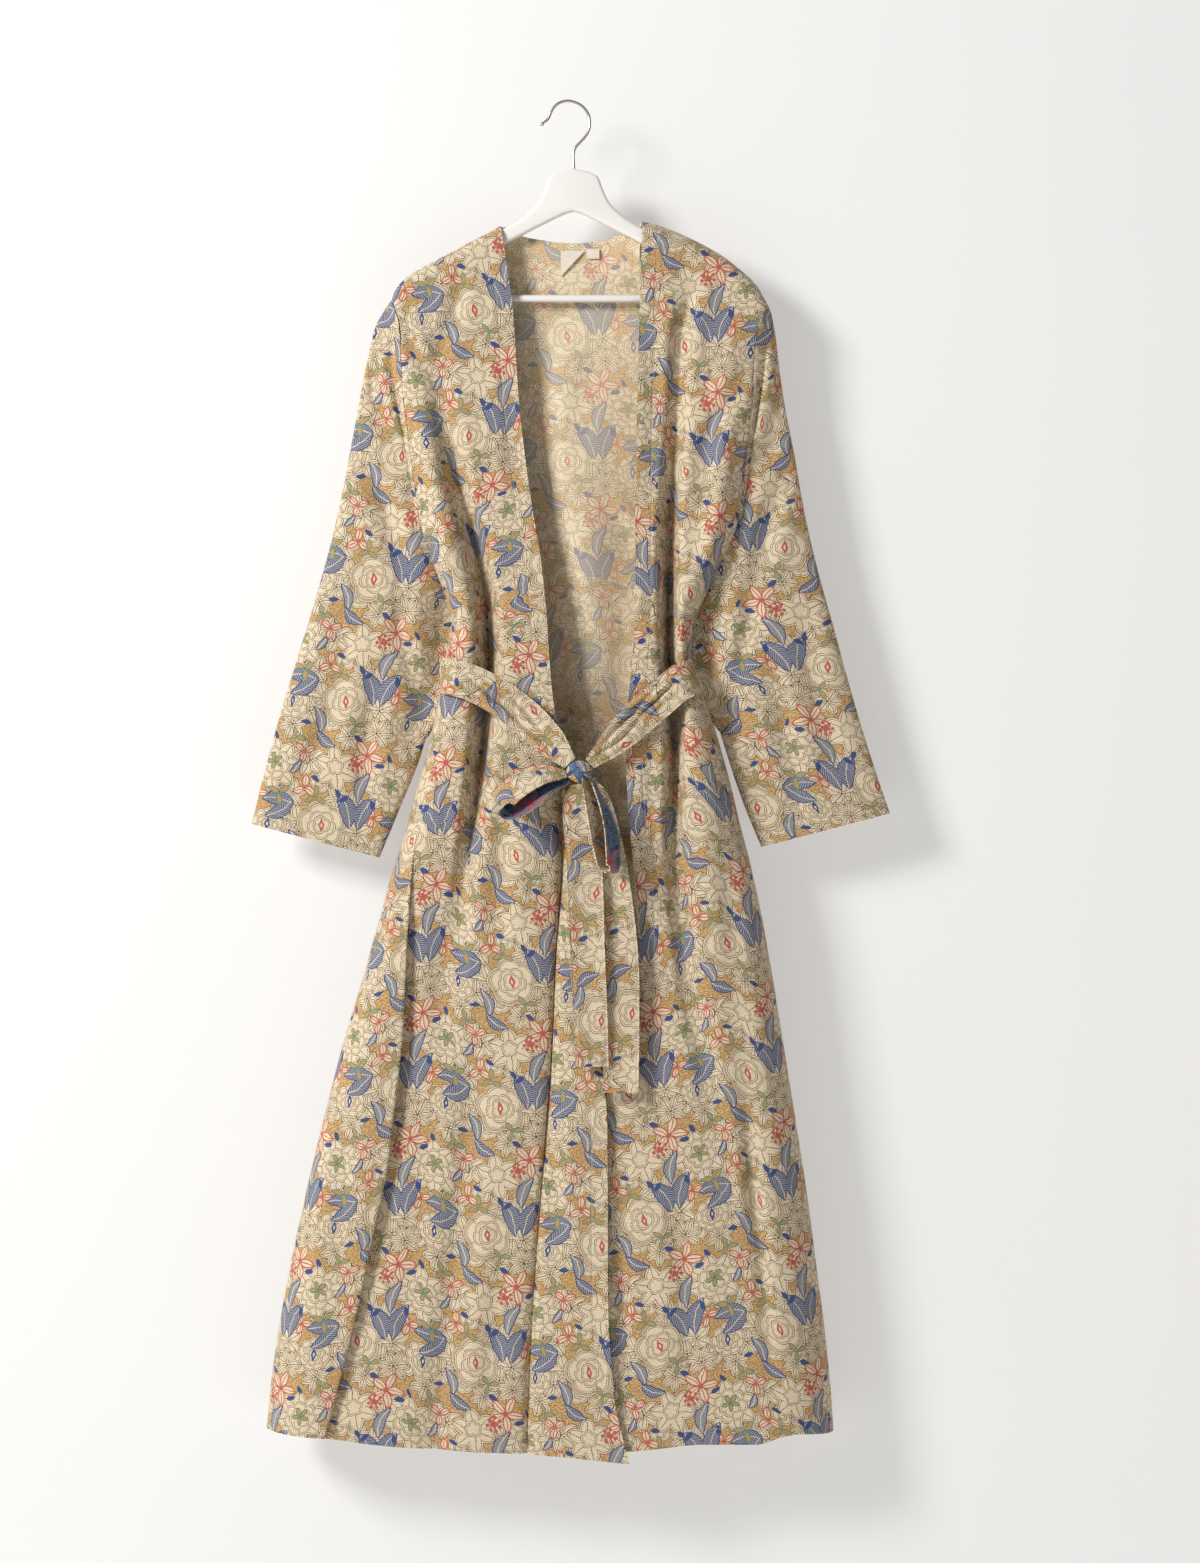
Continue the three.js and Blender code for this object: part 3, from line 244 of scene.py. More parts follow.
# Distance from the nearest of the named edges and length along it, for hems and stitching.
def edgeUv(points, *edges):
    fromTop = running(np.linalg.norm(np.diff(points, axis=0), axis=2), 0)
    fromFirst = running(np.linalg.norm(np.diff(points, axis=1), axis=2), 1)
    ways = {"bottom": (fromTop[-1:] - fromTop, fromFirst), "top": (fromTop, fromFirst),
            "last": (fromFirst[:, -1:] - fromFirst, fromTop), "first": (fromFirst, fromTop)}
    away, along = ways[edges[0]]
    for edge in edges[1:]:
        along = np.where(ways[edge][0] < away, ways[edge][1], along)
        away = np.minimum(ways[edge][0], away)
    return np.dstack((along, away))


class Wire:  # an output socket; sums, products and comparisons add Math nodes
    def __init__(self, socket):
        self.socket = socket

    def add(self, kind, settings=None, inputs=None, output=0):
        tree = self.socket.id_data
        node = tree.nodes.new("ShaderNode" + kind)
        for name, value in (settings or {}).items():
            if name == "stops":
                ramp = node.color_ramp
                for place, colour in value[2:]:
                    ramp.elements.new(place)
                for stop, (place, colour) in zip(ramp.elements, value):
                    stop.position = place
                    stop.color = (*colour, 1)
            elif name == "steps":
                node.color_ramp.interpolation = value
            else:
                setattr(node, name, value)
        for key, value in (inputs or {}).items():
            if isinstance(value, Wire):
                tree.links.new(value.socket, node.inputs[key])
            else:
                node.inputs[key].default_value = value
        return Wire(node.outputs[output])

    def maths(self, operation, *values):
        return self.add("Math", {"operation": operation}, dict(enumerate(values)))

    def vector(self, operation, *values, output=0):
        return self.add("VectorMath", {"operation": operation}, dict(enumerate(values)), output)

    def __add__(self, other): return self.maths("ADD", self, other)
    def __radd__(self, other): return self.maths("ADD", other, self)
    def __sub__(self, other): return self.maths("SUBTRACT", self, other)
    def __rsub__(self, other): return self.maths("SUBTRACT", other, self)
    def __mul__(self, other): return self.maths("MULTIPLY", self, other)
    def __rmul__(self, other): return self.maths("MULTIPLY", other, self)
    def __truediv__(self, other): return self.maths("DIVIDE", self, other)
    def __pow__(self, other): return self.maths("POWER", self, other)
    def __lt__(self, other): return self.maths("LESS_THAN", self, other)
    def __gt__(self, other): return self.maths("GREATER_THAN", self, other)
    def __abs__(self): return self.maths("ABSOLUTE", self)

    def dot(self, along):
        return self.vector("DOT_PRODUCT", self, along, output=1)

    def noise(self, scale, detail, output=0):
        return self.add("TexNoise", None, {"Vector": self, "Scale": scale, "Detail": detail}, output)

    def bump(self, distance, strength):
        return self.add("Bump", None, {"Height": self, "Distance": distance * mm, "Strength": strength})

    def plus(self, factor, addend):  # self * factor + addend in one node
        return self.maths("MULTIPLY_ADD", self, factor, addend)

    def choose(self, off, on):  # this wire as a mask between two numbers
        return self.add("Mix", {"data_type": "FLOAT"}, {0: self, 2: off, 3: on})

    def tint(self, other, share, way="MIX"):  # the same for colours
        node = self.add("Mix", {"data_type": "RGBA", "blend_type": way, "clamp_factor": True}).socket.node
        tree = node.id_data
        for slot, value in ((0, share), (6, self), (7, other)):
            if isinstance(value, Wire):
                tree.links.new(value.socket, node.inputs[slot])
            else:
                node.inputs[slot].default_value = value if slot == 0 else (*value, 1)
        return Wire(node.outputs[2])


inks = {"ground": 0.05, "fleck": 0.15, "scroll": 0.25, "outline": 0.35, "cream": 0.45,
        "indigo": 0.55, "vein": 0.65, "coral": 0.75, "teal": 0.85, "night": 0.95}
printWidth, printHeight = 137.0, 143.0  # one repeat of the print, in millimetres


def placed(spot, at, turn, parts):  # x and y from the nearest copy of a motif, turned with it
    wide, high = printWidth / parts[0], printHeight / parts[1]
    a = math.radians(turn)
    cell = spot.vector("MULTIPLY_ADD", spot, (1 / wide, 1 / high, 0),
                       (0.5 - at[0] / wide, 0.5 - at[1] / high, 0))
    cell = cell.vector("FRACTION", cell)
    cell = cell.vector("SUBTRACT", cell, (0.5, 0.5, 0))
    return (cell.dot((wide * math.cos(a), high * math.sin(a), 0)),
            cell.dot((-wide * math.sin(a), high * math.cos(a), 0)))


def leaf(under, x, y, size):  # a pointed leaf whose middle is the origin, its tip up
    long, half, line = size["long"] / 2, size["half"], size.get("line", 0.6)
    yy = y * y
    if size.get("bend"):
        x = yy.plus(-size["bend"] / long ** 2, x)
    away = abs(x)
    radius = (long * long / half + half) / 2
    far = away + (radius - half)
    ring = far.plus(far, yy)
    inside = ring < radius ** 2
    tone = size["inner"]
    if size.get("veins"):
        stripe = away.plus(0.8 / size["veins"], y * (1 / size["veins"]))
        stripe = stripe.maths("FRACT", stripe) < size.get("share", 0.5)
        tone = stripe.choose(size["rim"], size["inner"])
    if size.get("rib"):
        tone = (away < size["rib"]).choose(tone, size["ribInk"])
    if line:
        edge = ring > (radius - line) ** 2
        if size.get("second"):  # a thinner line inside the outline
            near = radius - size["second"]
            edge = edge.maths("MAXIMUM", edge, ring.maths("COMPARE", ring, near * near, 0.8 * near * line))
        tone = edge.choose(tone, size["rim"])
    return inside.choose(under, tone)


def pair(under, x, y, size):  # two leaves that spread from one stem
    a = math.radians(size["lean"])
    x = abs(x)
    c, s = math.cos(a), math.sin(a)
    across = x.plus(c, y * -s)
    up = x.plus(s, y.plus(c, -size["long"] / 2))
    return leaf(under, across, up, size)


def spray(under, x, y, size):  # leaves in a ring round the origin
    angle = x.maths("ARCTAN2", x, y)
    sector = angle.plus(size["count"] / (2 * math.pi), 0.5)
    sector = (sector.maths("FRACT", sector) - 0.5) * (2 * math.pi / size["count"])
    r = x.plus(x, y * y) ** 0.5
    across = r * sector.maths("SINE", sector)
    up = r.plus(sector.maths("COSINE", sector), -size["long"] / 2 - size.get("gap", 0))
    return leaf(under, across, up, size)


def bloom(under, x, y, size):  # scalloped flower: rings of petals drawn one over the other
    angle = x.maths("ARCTAN2", x, y)
    r = x.plus(x, y * y) ** 0.5
    for radius, lobes, depth, turn in size["rings"]:
        lobe = angle.plus(lobes / 2, turn)
        lobe = abs(lobe.maths("COSINE", lobe)) ** 0.55
        edge = lobe.plus(radius * depth, radius * (1 - depth))
        inwards = r.plus(-1, edge)
        second = inwards.maths("COMPARE", inwards, size["second"], size["line"] * 0.4)
        tone = inwards.maths("MAXIMUM", inwards < size["line"], second).choose(size["inner"], size["rim"])
        if size.get("cuts"):
            tone = ((lobe < size["cuts"]) * (r > radius * 0.3)).choose(tone, size["rim"])
        under = (r < edge).choose(under, tone)
    if size.get("heart"):
        wide = abs(x).plus(2.4, abs(y))
        tone = (wide < size["heart"] * 0.35).choose(size["heartInk"], inks["cream"])
        under = (wide < size["heart"]).choose(under, tone)
    return under


petal = {"rim": inks["outline"], "inner": inks["cream"], "line": 0.75, "second": 2.4}
ribbed = {**petal, "rib": 0.38, "ribInk": inks["outline"]}
plume = {"rim": inks["indigo"], "inner": inks["vein"], "line": 1.1, "veins": 2.6, "share": 0.5,
         "rib": 0.45, "ribInk": inks["cream"]}
blade = {"rim": inks["indigo"], "inner": inks["vein"], "line": 1.2, "veins": 1.9, "share": 0.74, "rib": 0.55,
         "ribInk": inks["cream"]}
sprig = {"rim": inks["teal"], "inner": inks["ground"], "line": 1.1}
tulip = {"rim": inks["coral"], "inner": inks["cream"], "line": 1.3, "rib": 0.5, "ribInk": inks["coral"]}
bud = {"rim": inks["indigo"], "inner": inks["indigo"], "line": 0}
berry = {"rim": inks["coral"], "inner": inks["coral"], "line": 0, "long": 4.4, "half": 1.9}
def ring(at, turn, kind, count, long, half, parts=(1, 1), **more):
    return spray, parts, at, turn, {**kind, "count": count, "long": long, "half": half, **more}


motifs = [  # shape, copies in a repeat, place, turn, size; later ones lie on earlier ones
    ring((4, 40), 20, ribbed, 5, 21, 7.0, parts=(2, 2)),
    ring((44, 4), 50, ribbed, 6, 18, 5.6, parts=(2, 2)),
    ring((60, 24), 0, ribbed, 5, 17, 6.0, parts=(2, 3)),
    (bloom, (2, 2), (20, 16), 12, {**petal, "rings": [(12, 5, 0.24, 0.2), (6, 4, 0.25, 1.2)], "cuts": 0.15}),
    ring((100, 99), 8, ribbed, 8, 27, 9.5, gap=5),
    (bloom, (1, 1), (100, 99), 0, {**petal, "rings": [(20, 7, 0.26, 0.3), (13, 5, 0.3, 1.0)], "cuts": 0.2}),
    ring((101, 102), 30, sprig, 5, 11, 2.7),
    ring((36, 108), 14, ribbed, 6, 27, 9.0),
    (bloom, (1, 1), (35, 110), 0, {**petal, "rings": [(10, 5, 0.25, 0.4)], "cuts": 0.12}),
    (bloom, (1, 1), (31, 42), 12, {**petal, "rings": [(29, 5, 0.2, 0.2), (25.4, 5, 0.2, 0.2),
                                                      (17, 5, 0.22, 1.5), (11, 3, 0.25, 0.6)],
                                   "heart": 8.5, "cuts": 0.1, "heartInk": inks["coral"]}),
    (bloom, (1, 1), (107, 30), 0, {**petal, "rings": [(20, 9, 0.2, 0.3), (13.5, 7, 0.2, 0.9),
                                                      (8, 5, 0.2, 0.2)],
                                   "heart": 8, "cuts": 0.2, "heartInk": inks["indigo"]}),
    ring((75, 14), 25, ribbed, 7, 20, 5.4),
    ring((70, 130), 50, tulip, 5, 22, 5.0),
    (spray, (1, 1), (58, 117), 0, {**berry, "count": 7, "gap": 5}),
    (spray, (1, 1), (58, 117), 24, {**berry, "count": 4, "gap": 0.4}),
    ring((4, 80), 5, tulip, 3, 15, 4.4),
    ring((88, 62), 160, tulip, 3, 13, 4.0),
    ring((132, 120), 60, tulip, 3, 14, 4.0),
    (pair, (1, 1), (67, 46), 4, {**plume, "lean": 24, "long": 43, "half": 9.6, "bend": 5}),
    (pair, (1, 1), (134, 62), 112, {**plume, "lean": 21, "long": 40, "half": 8.6, "bend": -4}),
    (leaf, (1, 1), (66, 94), -16, {**blade, "long": 38, "half": 7.0, "bend": 6}),
    (leaf, (1, 1), (7, 16), 22, {**blade, "long": 34, "half": 6.2, "bend": -6}),
    (leaf, (1, 1), (16, 136), 62, {**plume, "long": 30, "half": 6.4, "bend": 4}),
    (leaf, (1, 1), (127, 100), 150, {**blade, "long": 19, "half": 4.2, "bend": 2}),
    *[(leaf, (1, 1), at, turn, {**bud, "long": long, "half": half}) for at, turn, long, half in (
        ((50, 76), 130, 13, 2.9), ((42, 81), 40, 11, 2.6), ((84, 76), 20, 12, 2.7), ((86, 121), 100, 12, 2.8),
        ((96, 132), 35, 11, 2.4), ((54, 4), 60, 12, 2.8), ((128, 10), 100, 12, 2.6),
        ((14, 92), 70, 11, 2.6))],
    *[ring(at, turn, sprig, 3, long, half) for at, turn, long, half in (
        ((18, 72), 5, 14, 3.3), ((113, 68), 75, 15, 3.4), ((48, 18), 45, 13, 3.0),
        ((120, 134), 25, 12, 3.0))],
]


def printInk(spot):  # one number for every place of the print: the ink that lies there
    dots = spot.add("TexVoronoi", {"feature": "F1"}, {"Vector": spot, "Scale": 0.45})
    grain = spot.noise(0.5, 1.0)
    tone = (dots < 0.26).choose(inks["ground"], inks["scroll"])
    tone = (grain > 0.56).choose(tone, inks["fleck"])
    for shape, parts, at, turn, size in motifs:
        x, y = placed(spot, at, turn, parts)
        tone = shape(tone, x, y, size)
    return tone


palettes = {
    "outside": [(0.47, 0.27, 0.095), (0.60, 0.44, 0.24), (0.22, 0.12, 0.045), (0.15, 0.093, 0.048),
                (0.70, 0.58, 0.405), (0.050, 0.075, 0.195), (0.34, 0.33, 0.31), (0.47, 0.105, 0.075),
                (0.095, 0.24, 0.165), (0.03, 0.035, 0.08)],
    "vivid": [(0.012, 0.10, 0.115), (0.02, 0.05, 0.13), (0.01, 0.03, 0.07), (0.012, 0.012, 0.04),
              (0.10, 0.17, 0.27), (0.012, 0.025, 0.15), (0.25, 0.30, 0.33), (0.50, 0.05, 0.03),
              (0.01, 0.22, 0.19), (0.01, 0.01, 0.04)],
}
fade = (0.315, 0.265, 0.188)  # what the paler reverse side adds to every ink, raised further as painted light that brightens the shaded inside of the back
# inside palette: the paler reverse of the print plus a painted lift against the shade between fronts and back
palettes["inside"] = [tuple(c * 0.72 + pale for c, pale in zip(colour, fade))
                      for colour in palettes["outside"]]


def newMaterial(name, roughness):
    material = bpy.data.materials.new(name)
    material.use_nodes = True
    shader = material.node_tree.nodes["Principled BSDF"]
    shader.inputs["Roughness"].default_value = roughness
    return material, shader, Wire(shader.outputs[0])


def wireTo(shader, socket, wire):
    shader.id_data.links.new(wire.socket, shader.inputs[socket])


clothLook = {"ribs": 2.6, "ribDepth": 0.12, "sheen": 0.12, "stitch": 3.0, "stitchShare": 0.62, "drift": 3.4,
             "ribShade": 0.08, "slubShade": 0.55, "speckShade": 1.15, "darkest": 0.13,
             "threadHalf": 0.45, "thread": (0.60, 0.52, 0.38)}


def printedCloth(name):  # rib weave, print, and a row of stitches along the hems
    material, shader, start = newMaterial(name, 0.82)
    shader.inputs["Sheen Weight"].default_value = clothLook["sheen"]
    shader.inputs["Sheen Roughness"].default_value = 0.5
    shader.inputs["Specular IOR Level"].default_value = 0.25
    spot = start.add("UVMap", {"uv_map": "print"})
    spot = spot.add("VectorMath", {"operation": "MULTIPLY_ADD", "name": "printShift"},
                    {0: spot, 1: (1000, 1000, 0)})
    drift = spot.noise(0.11, 1.0, output=1)
    ink = printInk(drift.vector("MULTIPLY_ADD", drift, (clothLook["drift"], clothLook["drift"], 0), spot))
    colour = ink.add("ValToRGB", {"name": "printColours", "steps": "CONSTANT", "stops": [
        (i / 10, c) for i, c in enumerate(palettes["outside"])]}, {0: ink})
    down = spot.dot((0, 1, 0))
    wave = down * (2 * math.pi / clothLook["ribs"])
    rib = wave.maths("SINE", wave)
    slub = spot.vector("MULTIPLY", spot, (0.35, 1.6, 0)).noise(1.0, 2.0)
    speck = spot.noise(0.9, 1.0)
    shade = speck.plus(clothLook["speckShade"], clothLook["darkest"])
    shade = rib.plus(clothLook["ribShade"], slub.plus(clothLook["slubShade"], shade))
    colour = colour.tint(shade, 1.0, "MULTIPLY")
    height = rib.plus(clothLook["ribDepth"], slub * 0.25)
    sewn = start.add("UVMap", {"uv_map": "edge"})
    sewn = sewn.vector("MULTIPLY", sewn, (1000, 1000, 0))
    along = sewn.dot((1 / clothLook["stitch"], 0, 0))
    away = sewn.dot((0, 1, 0))
    away = away.add("Math", {"operation": "SUBTRACT", "name": "hemLine"}, {0: away})
    beside = abs(away)
    thread = (beside < clothLook["threadHalf"]) * (along.maths("FRACT", along) < clothLook["stitchShare"])
    colour = colour.tint(clothLook["thread"], thread * 0.7)
    trough = beside.maths("MINIMUM", beside * 0.45, 1)
    height = trough.plus(0.7, height) + thread * 0.35 + (away < 0) * 0.25
    wireTo(shader, "Base Color", colour)
    wireTo(shader, "Normal", height.bump(1, 0.7))
    wireTo(shader, "Roughness", slub.plus(0.12, 0.76))
    return material


def inColours(base, name, colours, hem, shift):  # the same cloth with another side, hem or cut
    material = base.copy()
    material.name = name
    nodes = material.node_tree.nodes
    nodes["printShift"].inputs[2].default_value = (*shift, 0)
    nodes["hemLine"].inputs[1].default_value = hem
    for stop, colour in zip(nodes["printColours"].color_ramp.elements, palettes[colours]):
        stop.color = (*colour, 1)
    return material


clothBase = printedCloth("printedBase")
outsideHem = inColours(clothBase, "printedOutside", "outside", 18, (0, 0))
# the inner-side cloth: its palette holds the paler reverse and the painted lift against shade
inside = inColours(clothBase, "printedInside", "inside", -20, (40, 20))
beltCloth = inColours(clothBase, "printedBelt", "outside", 2.2, (17, 60))
beltVivid = inColours(clothBase, "printedBeltInside", "vivid", 2.2, (60, 10))
bpy.data.materials.remove(clothBase)
print("cloth materials made")


# Outlines: l and r columns are the left and right edge, as the viewer sees them.
bodiceRows = rows("lx lz rx rz",
    (-200, -226, 226, -229), (-199, -227.5, 225, -230.5), (-197.5, -231, 223.5, -234),
    (-195, -238, 221, -241), (-190, -260, 215, -264), (-188, -294, 211, -298), (-186, -336, 209, -339),
    (-180, -382, 204, -384), (-174, -430, 199, -430), (-167, -477, 194, -473), (-159, -511, 184, -506),
    (-146, -543, 167, -540), (-136, -571, 153, -570), (-131, -593, 144, -591))
skirtRows = rows("lx lz rx rz",
    (-131, -593, 144, -591), (-137, -625, 142, -625), (-143, -660, 149, -660), (-150, -700, 162, -700),
    (-159, -740, 174, -740), (-170, -780, 185, -780), (-181, -822, 195, -822), (-197, -872, 208, -872),
    (-214, -932, 221, -932), (-233, -1000, 233, -1000), (-257, -1080, 246, -1080),
    (-278, -1162, 259, -1162), (-298, -1246, 272, -1246), (-316, -1330, 283, -1330),
    (-330, -1408, 293, -1408), (-338, -1466, 299, -1470), (-342, -1509, 302, -1513))
leftShoulder = rows("x z",
    (-200, -226), (-197, -217), (-190, -207), (-178, -197), (-157, -185), (-123, -167), (-76, -142))
rightShoulder = rows("x z",
    (85, -137), (105, -142), (128, -151), (151, -162), (174, -175), (196, -192), (214, -209), (226, -229))
backNeck = rows("x z y",
    (-76, -142, 0.3), (-71, -141, 9), (-62, -147, 10), (-48, -152, 11), (-31, -155, 12), (-9, -158, 12),
    (9, -159, 12), (28, -157, 12), (46, -153, 12), (60, -149, 11), (72, -144, 10), (80, -138, 9),
    (85, -137, 0.3))
leftHem = rows("x z",
    (-342, -1509), (-276, -1514), (-221, -1521), (-134, -1527), (-17, -1533), (70, -1541))
rightHem = rows("x z",
    (26, -1531), (74, -1528), (156, -1520), (211, -1520), (254, -1509), (302, -1513))
backHem = rows("x z",
    (-342, -1509), (-240, -1519), (-60, -1529), (90, -1533), (190, -1537), (250, -1531), (302, -1513))
leftEdge = rows("z x",
    (-142, -76), (-196, -68), (-230, -63), (-343, -55), (-457, -41), (-525, -30), (-593, -23), (-640, -20),
    (-683, -16), (-728, -8), (-852, 5), (-1005, 23), (-1096, 38), (-1159, 45), (-1360, 46), (-1467, 53),
    (-1541, 70))
rightEdge = rows("z x",
    (-137, 85), (-230, 82), (-343, 79), (-457, 77), (-586, 76), (-627, 74), (-694, 68), (-752, 66),
    (-796, 68), (-875, 75), (-930, 80), (-1008, 80), (-1078, 60), (-1146, 40), (-1248, 28), (-1531, 26))
fullness = rows("z front back round",
    (-137, 10, 10, 12), (-180, 12, 11, 16), (-260, 15, 13, 22), (-420, 20, 17, 26), (-520, 26, 21, 26),
    (-600, 33, 25, 24), (-700, 38, 28, 28), (-820, 41, 31, 36), (-1000, 42, 34, 46), (-1250, 46, 39, 58),
    (-1541, 50, 45, 64))
stripFold = rows("z x deep",
    (-593, -98.6, 0), (-640, -106, 0), (-700, -119, 0), (-760, -140, 0), (-810, -161, 3), (-841, -171, 7),
    (-884, -179, 12), (-965, -186, 16), (-1059, -191, 17), (-1131, -199, 17), (-1207, -208, 16),
    (-1270, -221, 15), (-1350, -237, 13), (-1446, -259, 11), (-1514, -276, 10))
leftSleeve = rows("k ox oz ix iz half y",
    (0, -207, -236, -166, -522, 13, 1), (1, -219, -258, -156, -545, 13, 3),
    (2, -229, -300, -146.5, -568, 13, 5), (3, -241, -362, -141, -594, 14, 7),
    (4, -254, -432, -144, -622, 15, 8), (5, -269, -500, -149, -652, 16, 8),
    (6, -287, -565, -154, -682, 16, 8), (7, -306, -628, -160, -712, 16, 8),
    (8, -326, -693, -170, -748, 15, 8), (9, -345, -762, -190, -798, 14, 8),
    (10, -360, -823, -216, -861, 13, 8))
rightSleeve = rows("k ox oz ix iz half y",
    (0, 231, -240, 192.5, -519, 13, 1), (1, 236, -266, 185, -540, 13, 3), (2, 241, -306, 173, -560, 13, 5),
    (3, 248, -352, 159, -584, 14, 7), (4, 258, -402, 152, -610, 15, 8), (5, 268, -460, 153, -638, 16, 8),
    (6, 283, -527, 159, -666, 16, 8), (7, 303, -600, 170, -702, 16, 8), (8, 325, -680, 183, -744, 15, 8),
    (9, 348, -755, 201, -798, 14, 8), (10, 367, -811, 222, -849, 13, 8))
beltLeft = rows("k x z half free",
    (0, -138, -655, 20, 0), (1, -135.5, -655, 20, 0), (2, -131, -656, 20, 0), (3, -124, -658, 20, 0),
    (4, -112, -662, 20, 0), (5, -94, -670, 20, 0), (6, -72, -683, 20, 0), (7, -46, -703, 20, 0.1),
    (8, -20, -729, 18, 0.6), (9, 3.2, -754, 8, 1))
beltRight = rows("k x z half free",
    (0, 141.5, -655, 20, 0), (1, 139, -656, 20, 0), (2, 134, -658, 20, 0), (3, 125, -664, 20, 0),
    (4, 107, -680, 20, 0), (5, 86, -698, 20, 0.1), (6, 66, -716, 19, 0.4), (7, 46, -736, 14, 0.8),
    (8, 25.2, -754.4, 7, 1))
tailLeft = rows("k x y z half",
    (0, 12, -60, -777.6, 8), (1, 14, -62, -792, 17), (2, 15, -63, -812, 20), (3, 19, -63, -860, 20),
    (4, 21, -63, -910, 20), (5, 23, -63, -970, 19.5), (6, 26, -62, -1030, 19), (7, 28, -62, -1094, 18.5))
tailRight = rows("k x y z half",
    (0, 23, -54, -773.3, 7), (1, 31, -54, -792, 15), (2, 37, -54, -825, 20), (3, 45, -54, -860, 20),
    (4, 52, -54, -900, 20), (5, 58, -55, -950, 20), (6, 61, -55, -1000, 20), (7, 61, -56, -1060, 20),
    (8, 60, -56, -1124, 20))
loopLeft = rows("k x y z half",
    (0, -1.5, -61, -766, 5), (1, -20, -68, -766, 14), (2, -42, -69, -772, 19), (3, -62, -71, -785, 20),
    (4, -72, -72, -797, 20), (5, -70, -72, -804, 20), (6, -58, -71, -803, 19), (7, -38, -69, -792, 17),
    (8, -19, -65, -778, 13), (9, 2, -60, -773, 4))
loopRight = rows("k x y z half",
    (0, 19, -68, -772.5, 5), (1, 26, -77, -790, 13), (2, 31, -81, -815, 16), (3, 36, -82, -845, 17),
    (4, 42, -82, -868, 17), (5, 48, -82, -873, 17), (6, 52, -82, -866, 16), (7, 51, -81, -840, 15),
    (8, 44, -79, -812, 11), (9, 29, -69, -776, 5))
hookLine = rows("k x z",
    (0, -27, -23), (1, -22.5, -19.5), (2, -19, -11), (3, -12, -2), (4, 0, 1.7), (5, 12.5, -2),
    (6, 21, -9.5), (7, 25, -19), (8, 25, -28), (9, 21, -38), (10, 13, -47), (11, 8, -53), (12, 6.4, -60),
    (13, 7, -76.1))
hangerOutline = rows("k r z",
    (0, 0, -76.5), (1, 14, -79), (2, 27, -85), (3, 33, -99), (4, 40, -114), (5, 52, -127), (6, 65, -137),
    (7, 83, -146.7), (8, 130, -170.2), (9, 164, -188.2), (10, 185, -201.2), (11, 197, -212.4),
    (12, 202, -223), (13, 200, -233), (14, 190, -238), (15, 178, -237), (16, 172, -232), (17, 172, -215),
    (18, 150, -203), (19, 78, -162), (20, 8, -127), (21, 0, -125))
frontFolds = [
    {"name": "left valley", "width": 15, "pinch": 0.2, "square": 0.8, "bank": 13, "close": 2.0,
     "line": rows("z x deep",
        (-250, -152, 0), (-340, -140, 6), (-423, -127, 15), (-515, -103, 28), (-579, -93, 36),
        (-640, -90, 38), (-700, -94, 38), (-783, -102, 26), (-856, -112, 15), (-948, -126, 8),
        (-1022, -134, 5), (-1100, -140, 0))},
    {"name": "right valley", "width": 13, "pinch": 0.15, "square": 0.9, "bank": 12, "close": 2.0,
     "line": rows("z x deep",
        (-160, 137, 0), (-211, 133, 2), (-302, 128, 8), (-423, 119, 20), (-524, 115, 34), (-616, 115, 42),
        (-709, 121, 38), (-820, 120, 22), (-902, 125, 13), (-1004, 137, 8), (-1105, 156, 4),
        (-1200, 168, 0))},
    {"name": "middle valley", "width": 18, "pinch": 0.8, "bank": 11, "close": 9, "line": rows("z x deep",
        (-690, -26, 0), (-773, -6, 8), (-856, -6, 11), (-966, -13, 11), (-1087, -18, 10), (-1225, -29, 9),
        (-1280, -33, 8), (-1419, -42, 7), (-1541, -46, 7))},
    {"name": "left chest ridge", "width": 14, "line": rows("z x deep",
        (-230, -172, 0), (-330, -166, -3), (-430, -150, -6), (-520, -133, -7), (-600, -117, -3),
        (-680, -120, 0))},
    {"name": "right chest ridge", "width": 16, "line": rows("z x deep",
        (-230, 190, 0), (-330, 182, -5), (-430, 176, -8), (-520, 158, -8), (-600, 132, -3), (-680, 140, 0))},
    {"name": "right hip ridge", "width": 18, "line": rows("z x deep",
        (-660, 146, 0), (-740, 150, -4), (-860, 162, -4), (-1000, 180, 0))},
    {"name": "right calf crease", "width": 9, "line": rows("z x deep",
        (-1120, 198, 0), (-1171, 204, 5), (-1279, 216, 6), (-1400, 226, 3), (-1480, 232, 0))},
    {"name": "left calf valley", "width": 18, "line": rows("z x deep",
        (-1020, -96, 0), (-1150, -108, 5), (-1330, -130, 7), (-1541, -150, 7))},
]
backFolds = [
    {"name": "back waist hollow", "width": 42, "line": rows("z x deep",
        (-250, 12, 0), (-340, 12, 7), (-420, 14, 13), (-520, 18, 20), (-600, 22, 23), (-700, 26, 19),
        (-820, 28, 0))},
    {"name": "back left valley", "width": 22, "line": rows("z x deep",
        (-480, -70, 0), (-560, -72, 5), (-700, -84, 11), (-1000, -124, 9), (-1537, -190, 14))},
    {"name": "back middle ridge", "width": 30, "line": rows("z x deep",
        (-560, 6, 0), (-700, -2, -6), (-1100, -20, -8), (-1537, -36, -10))},
    {"name": "back right valley", "width": 24, "line": rows("z x deep",
        (-480, 84, 0), (-560, 86, 5), (-700, 96, 11), (-1000, 122, 10), (-1537, 176, 15))},
]


armhole = {"half": 14, "row": 10, "closing": 0.55}  # it ends at a row of the bodice, rounding off below


# Half depth of the open armhole's edge at a height.
def armholeEdge(side, z):
    top, bottom = bodiceRows[side + "z"][[0, armhole["row"]]]
    t = clamp((top - z) / (top - bottom))
    closed = clamp((t - armhole["closing"]) / (1 - armhole["closing"]))
    return np.where(z > bottom, armhole["half"] * np.sqrt(1 - closed ** 2), 0)


topRound = 12  # the cloth rounds off over this far below a shoulder
waistZ = (-593, -591)  # at the left and right side seam
panelEnds = {"shoulder": (-200, 226), "neck": (-76, 85), "hem": (-342, 302)}


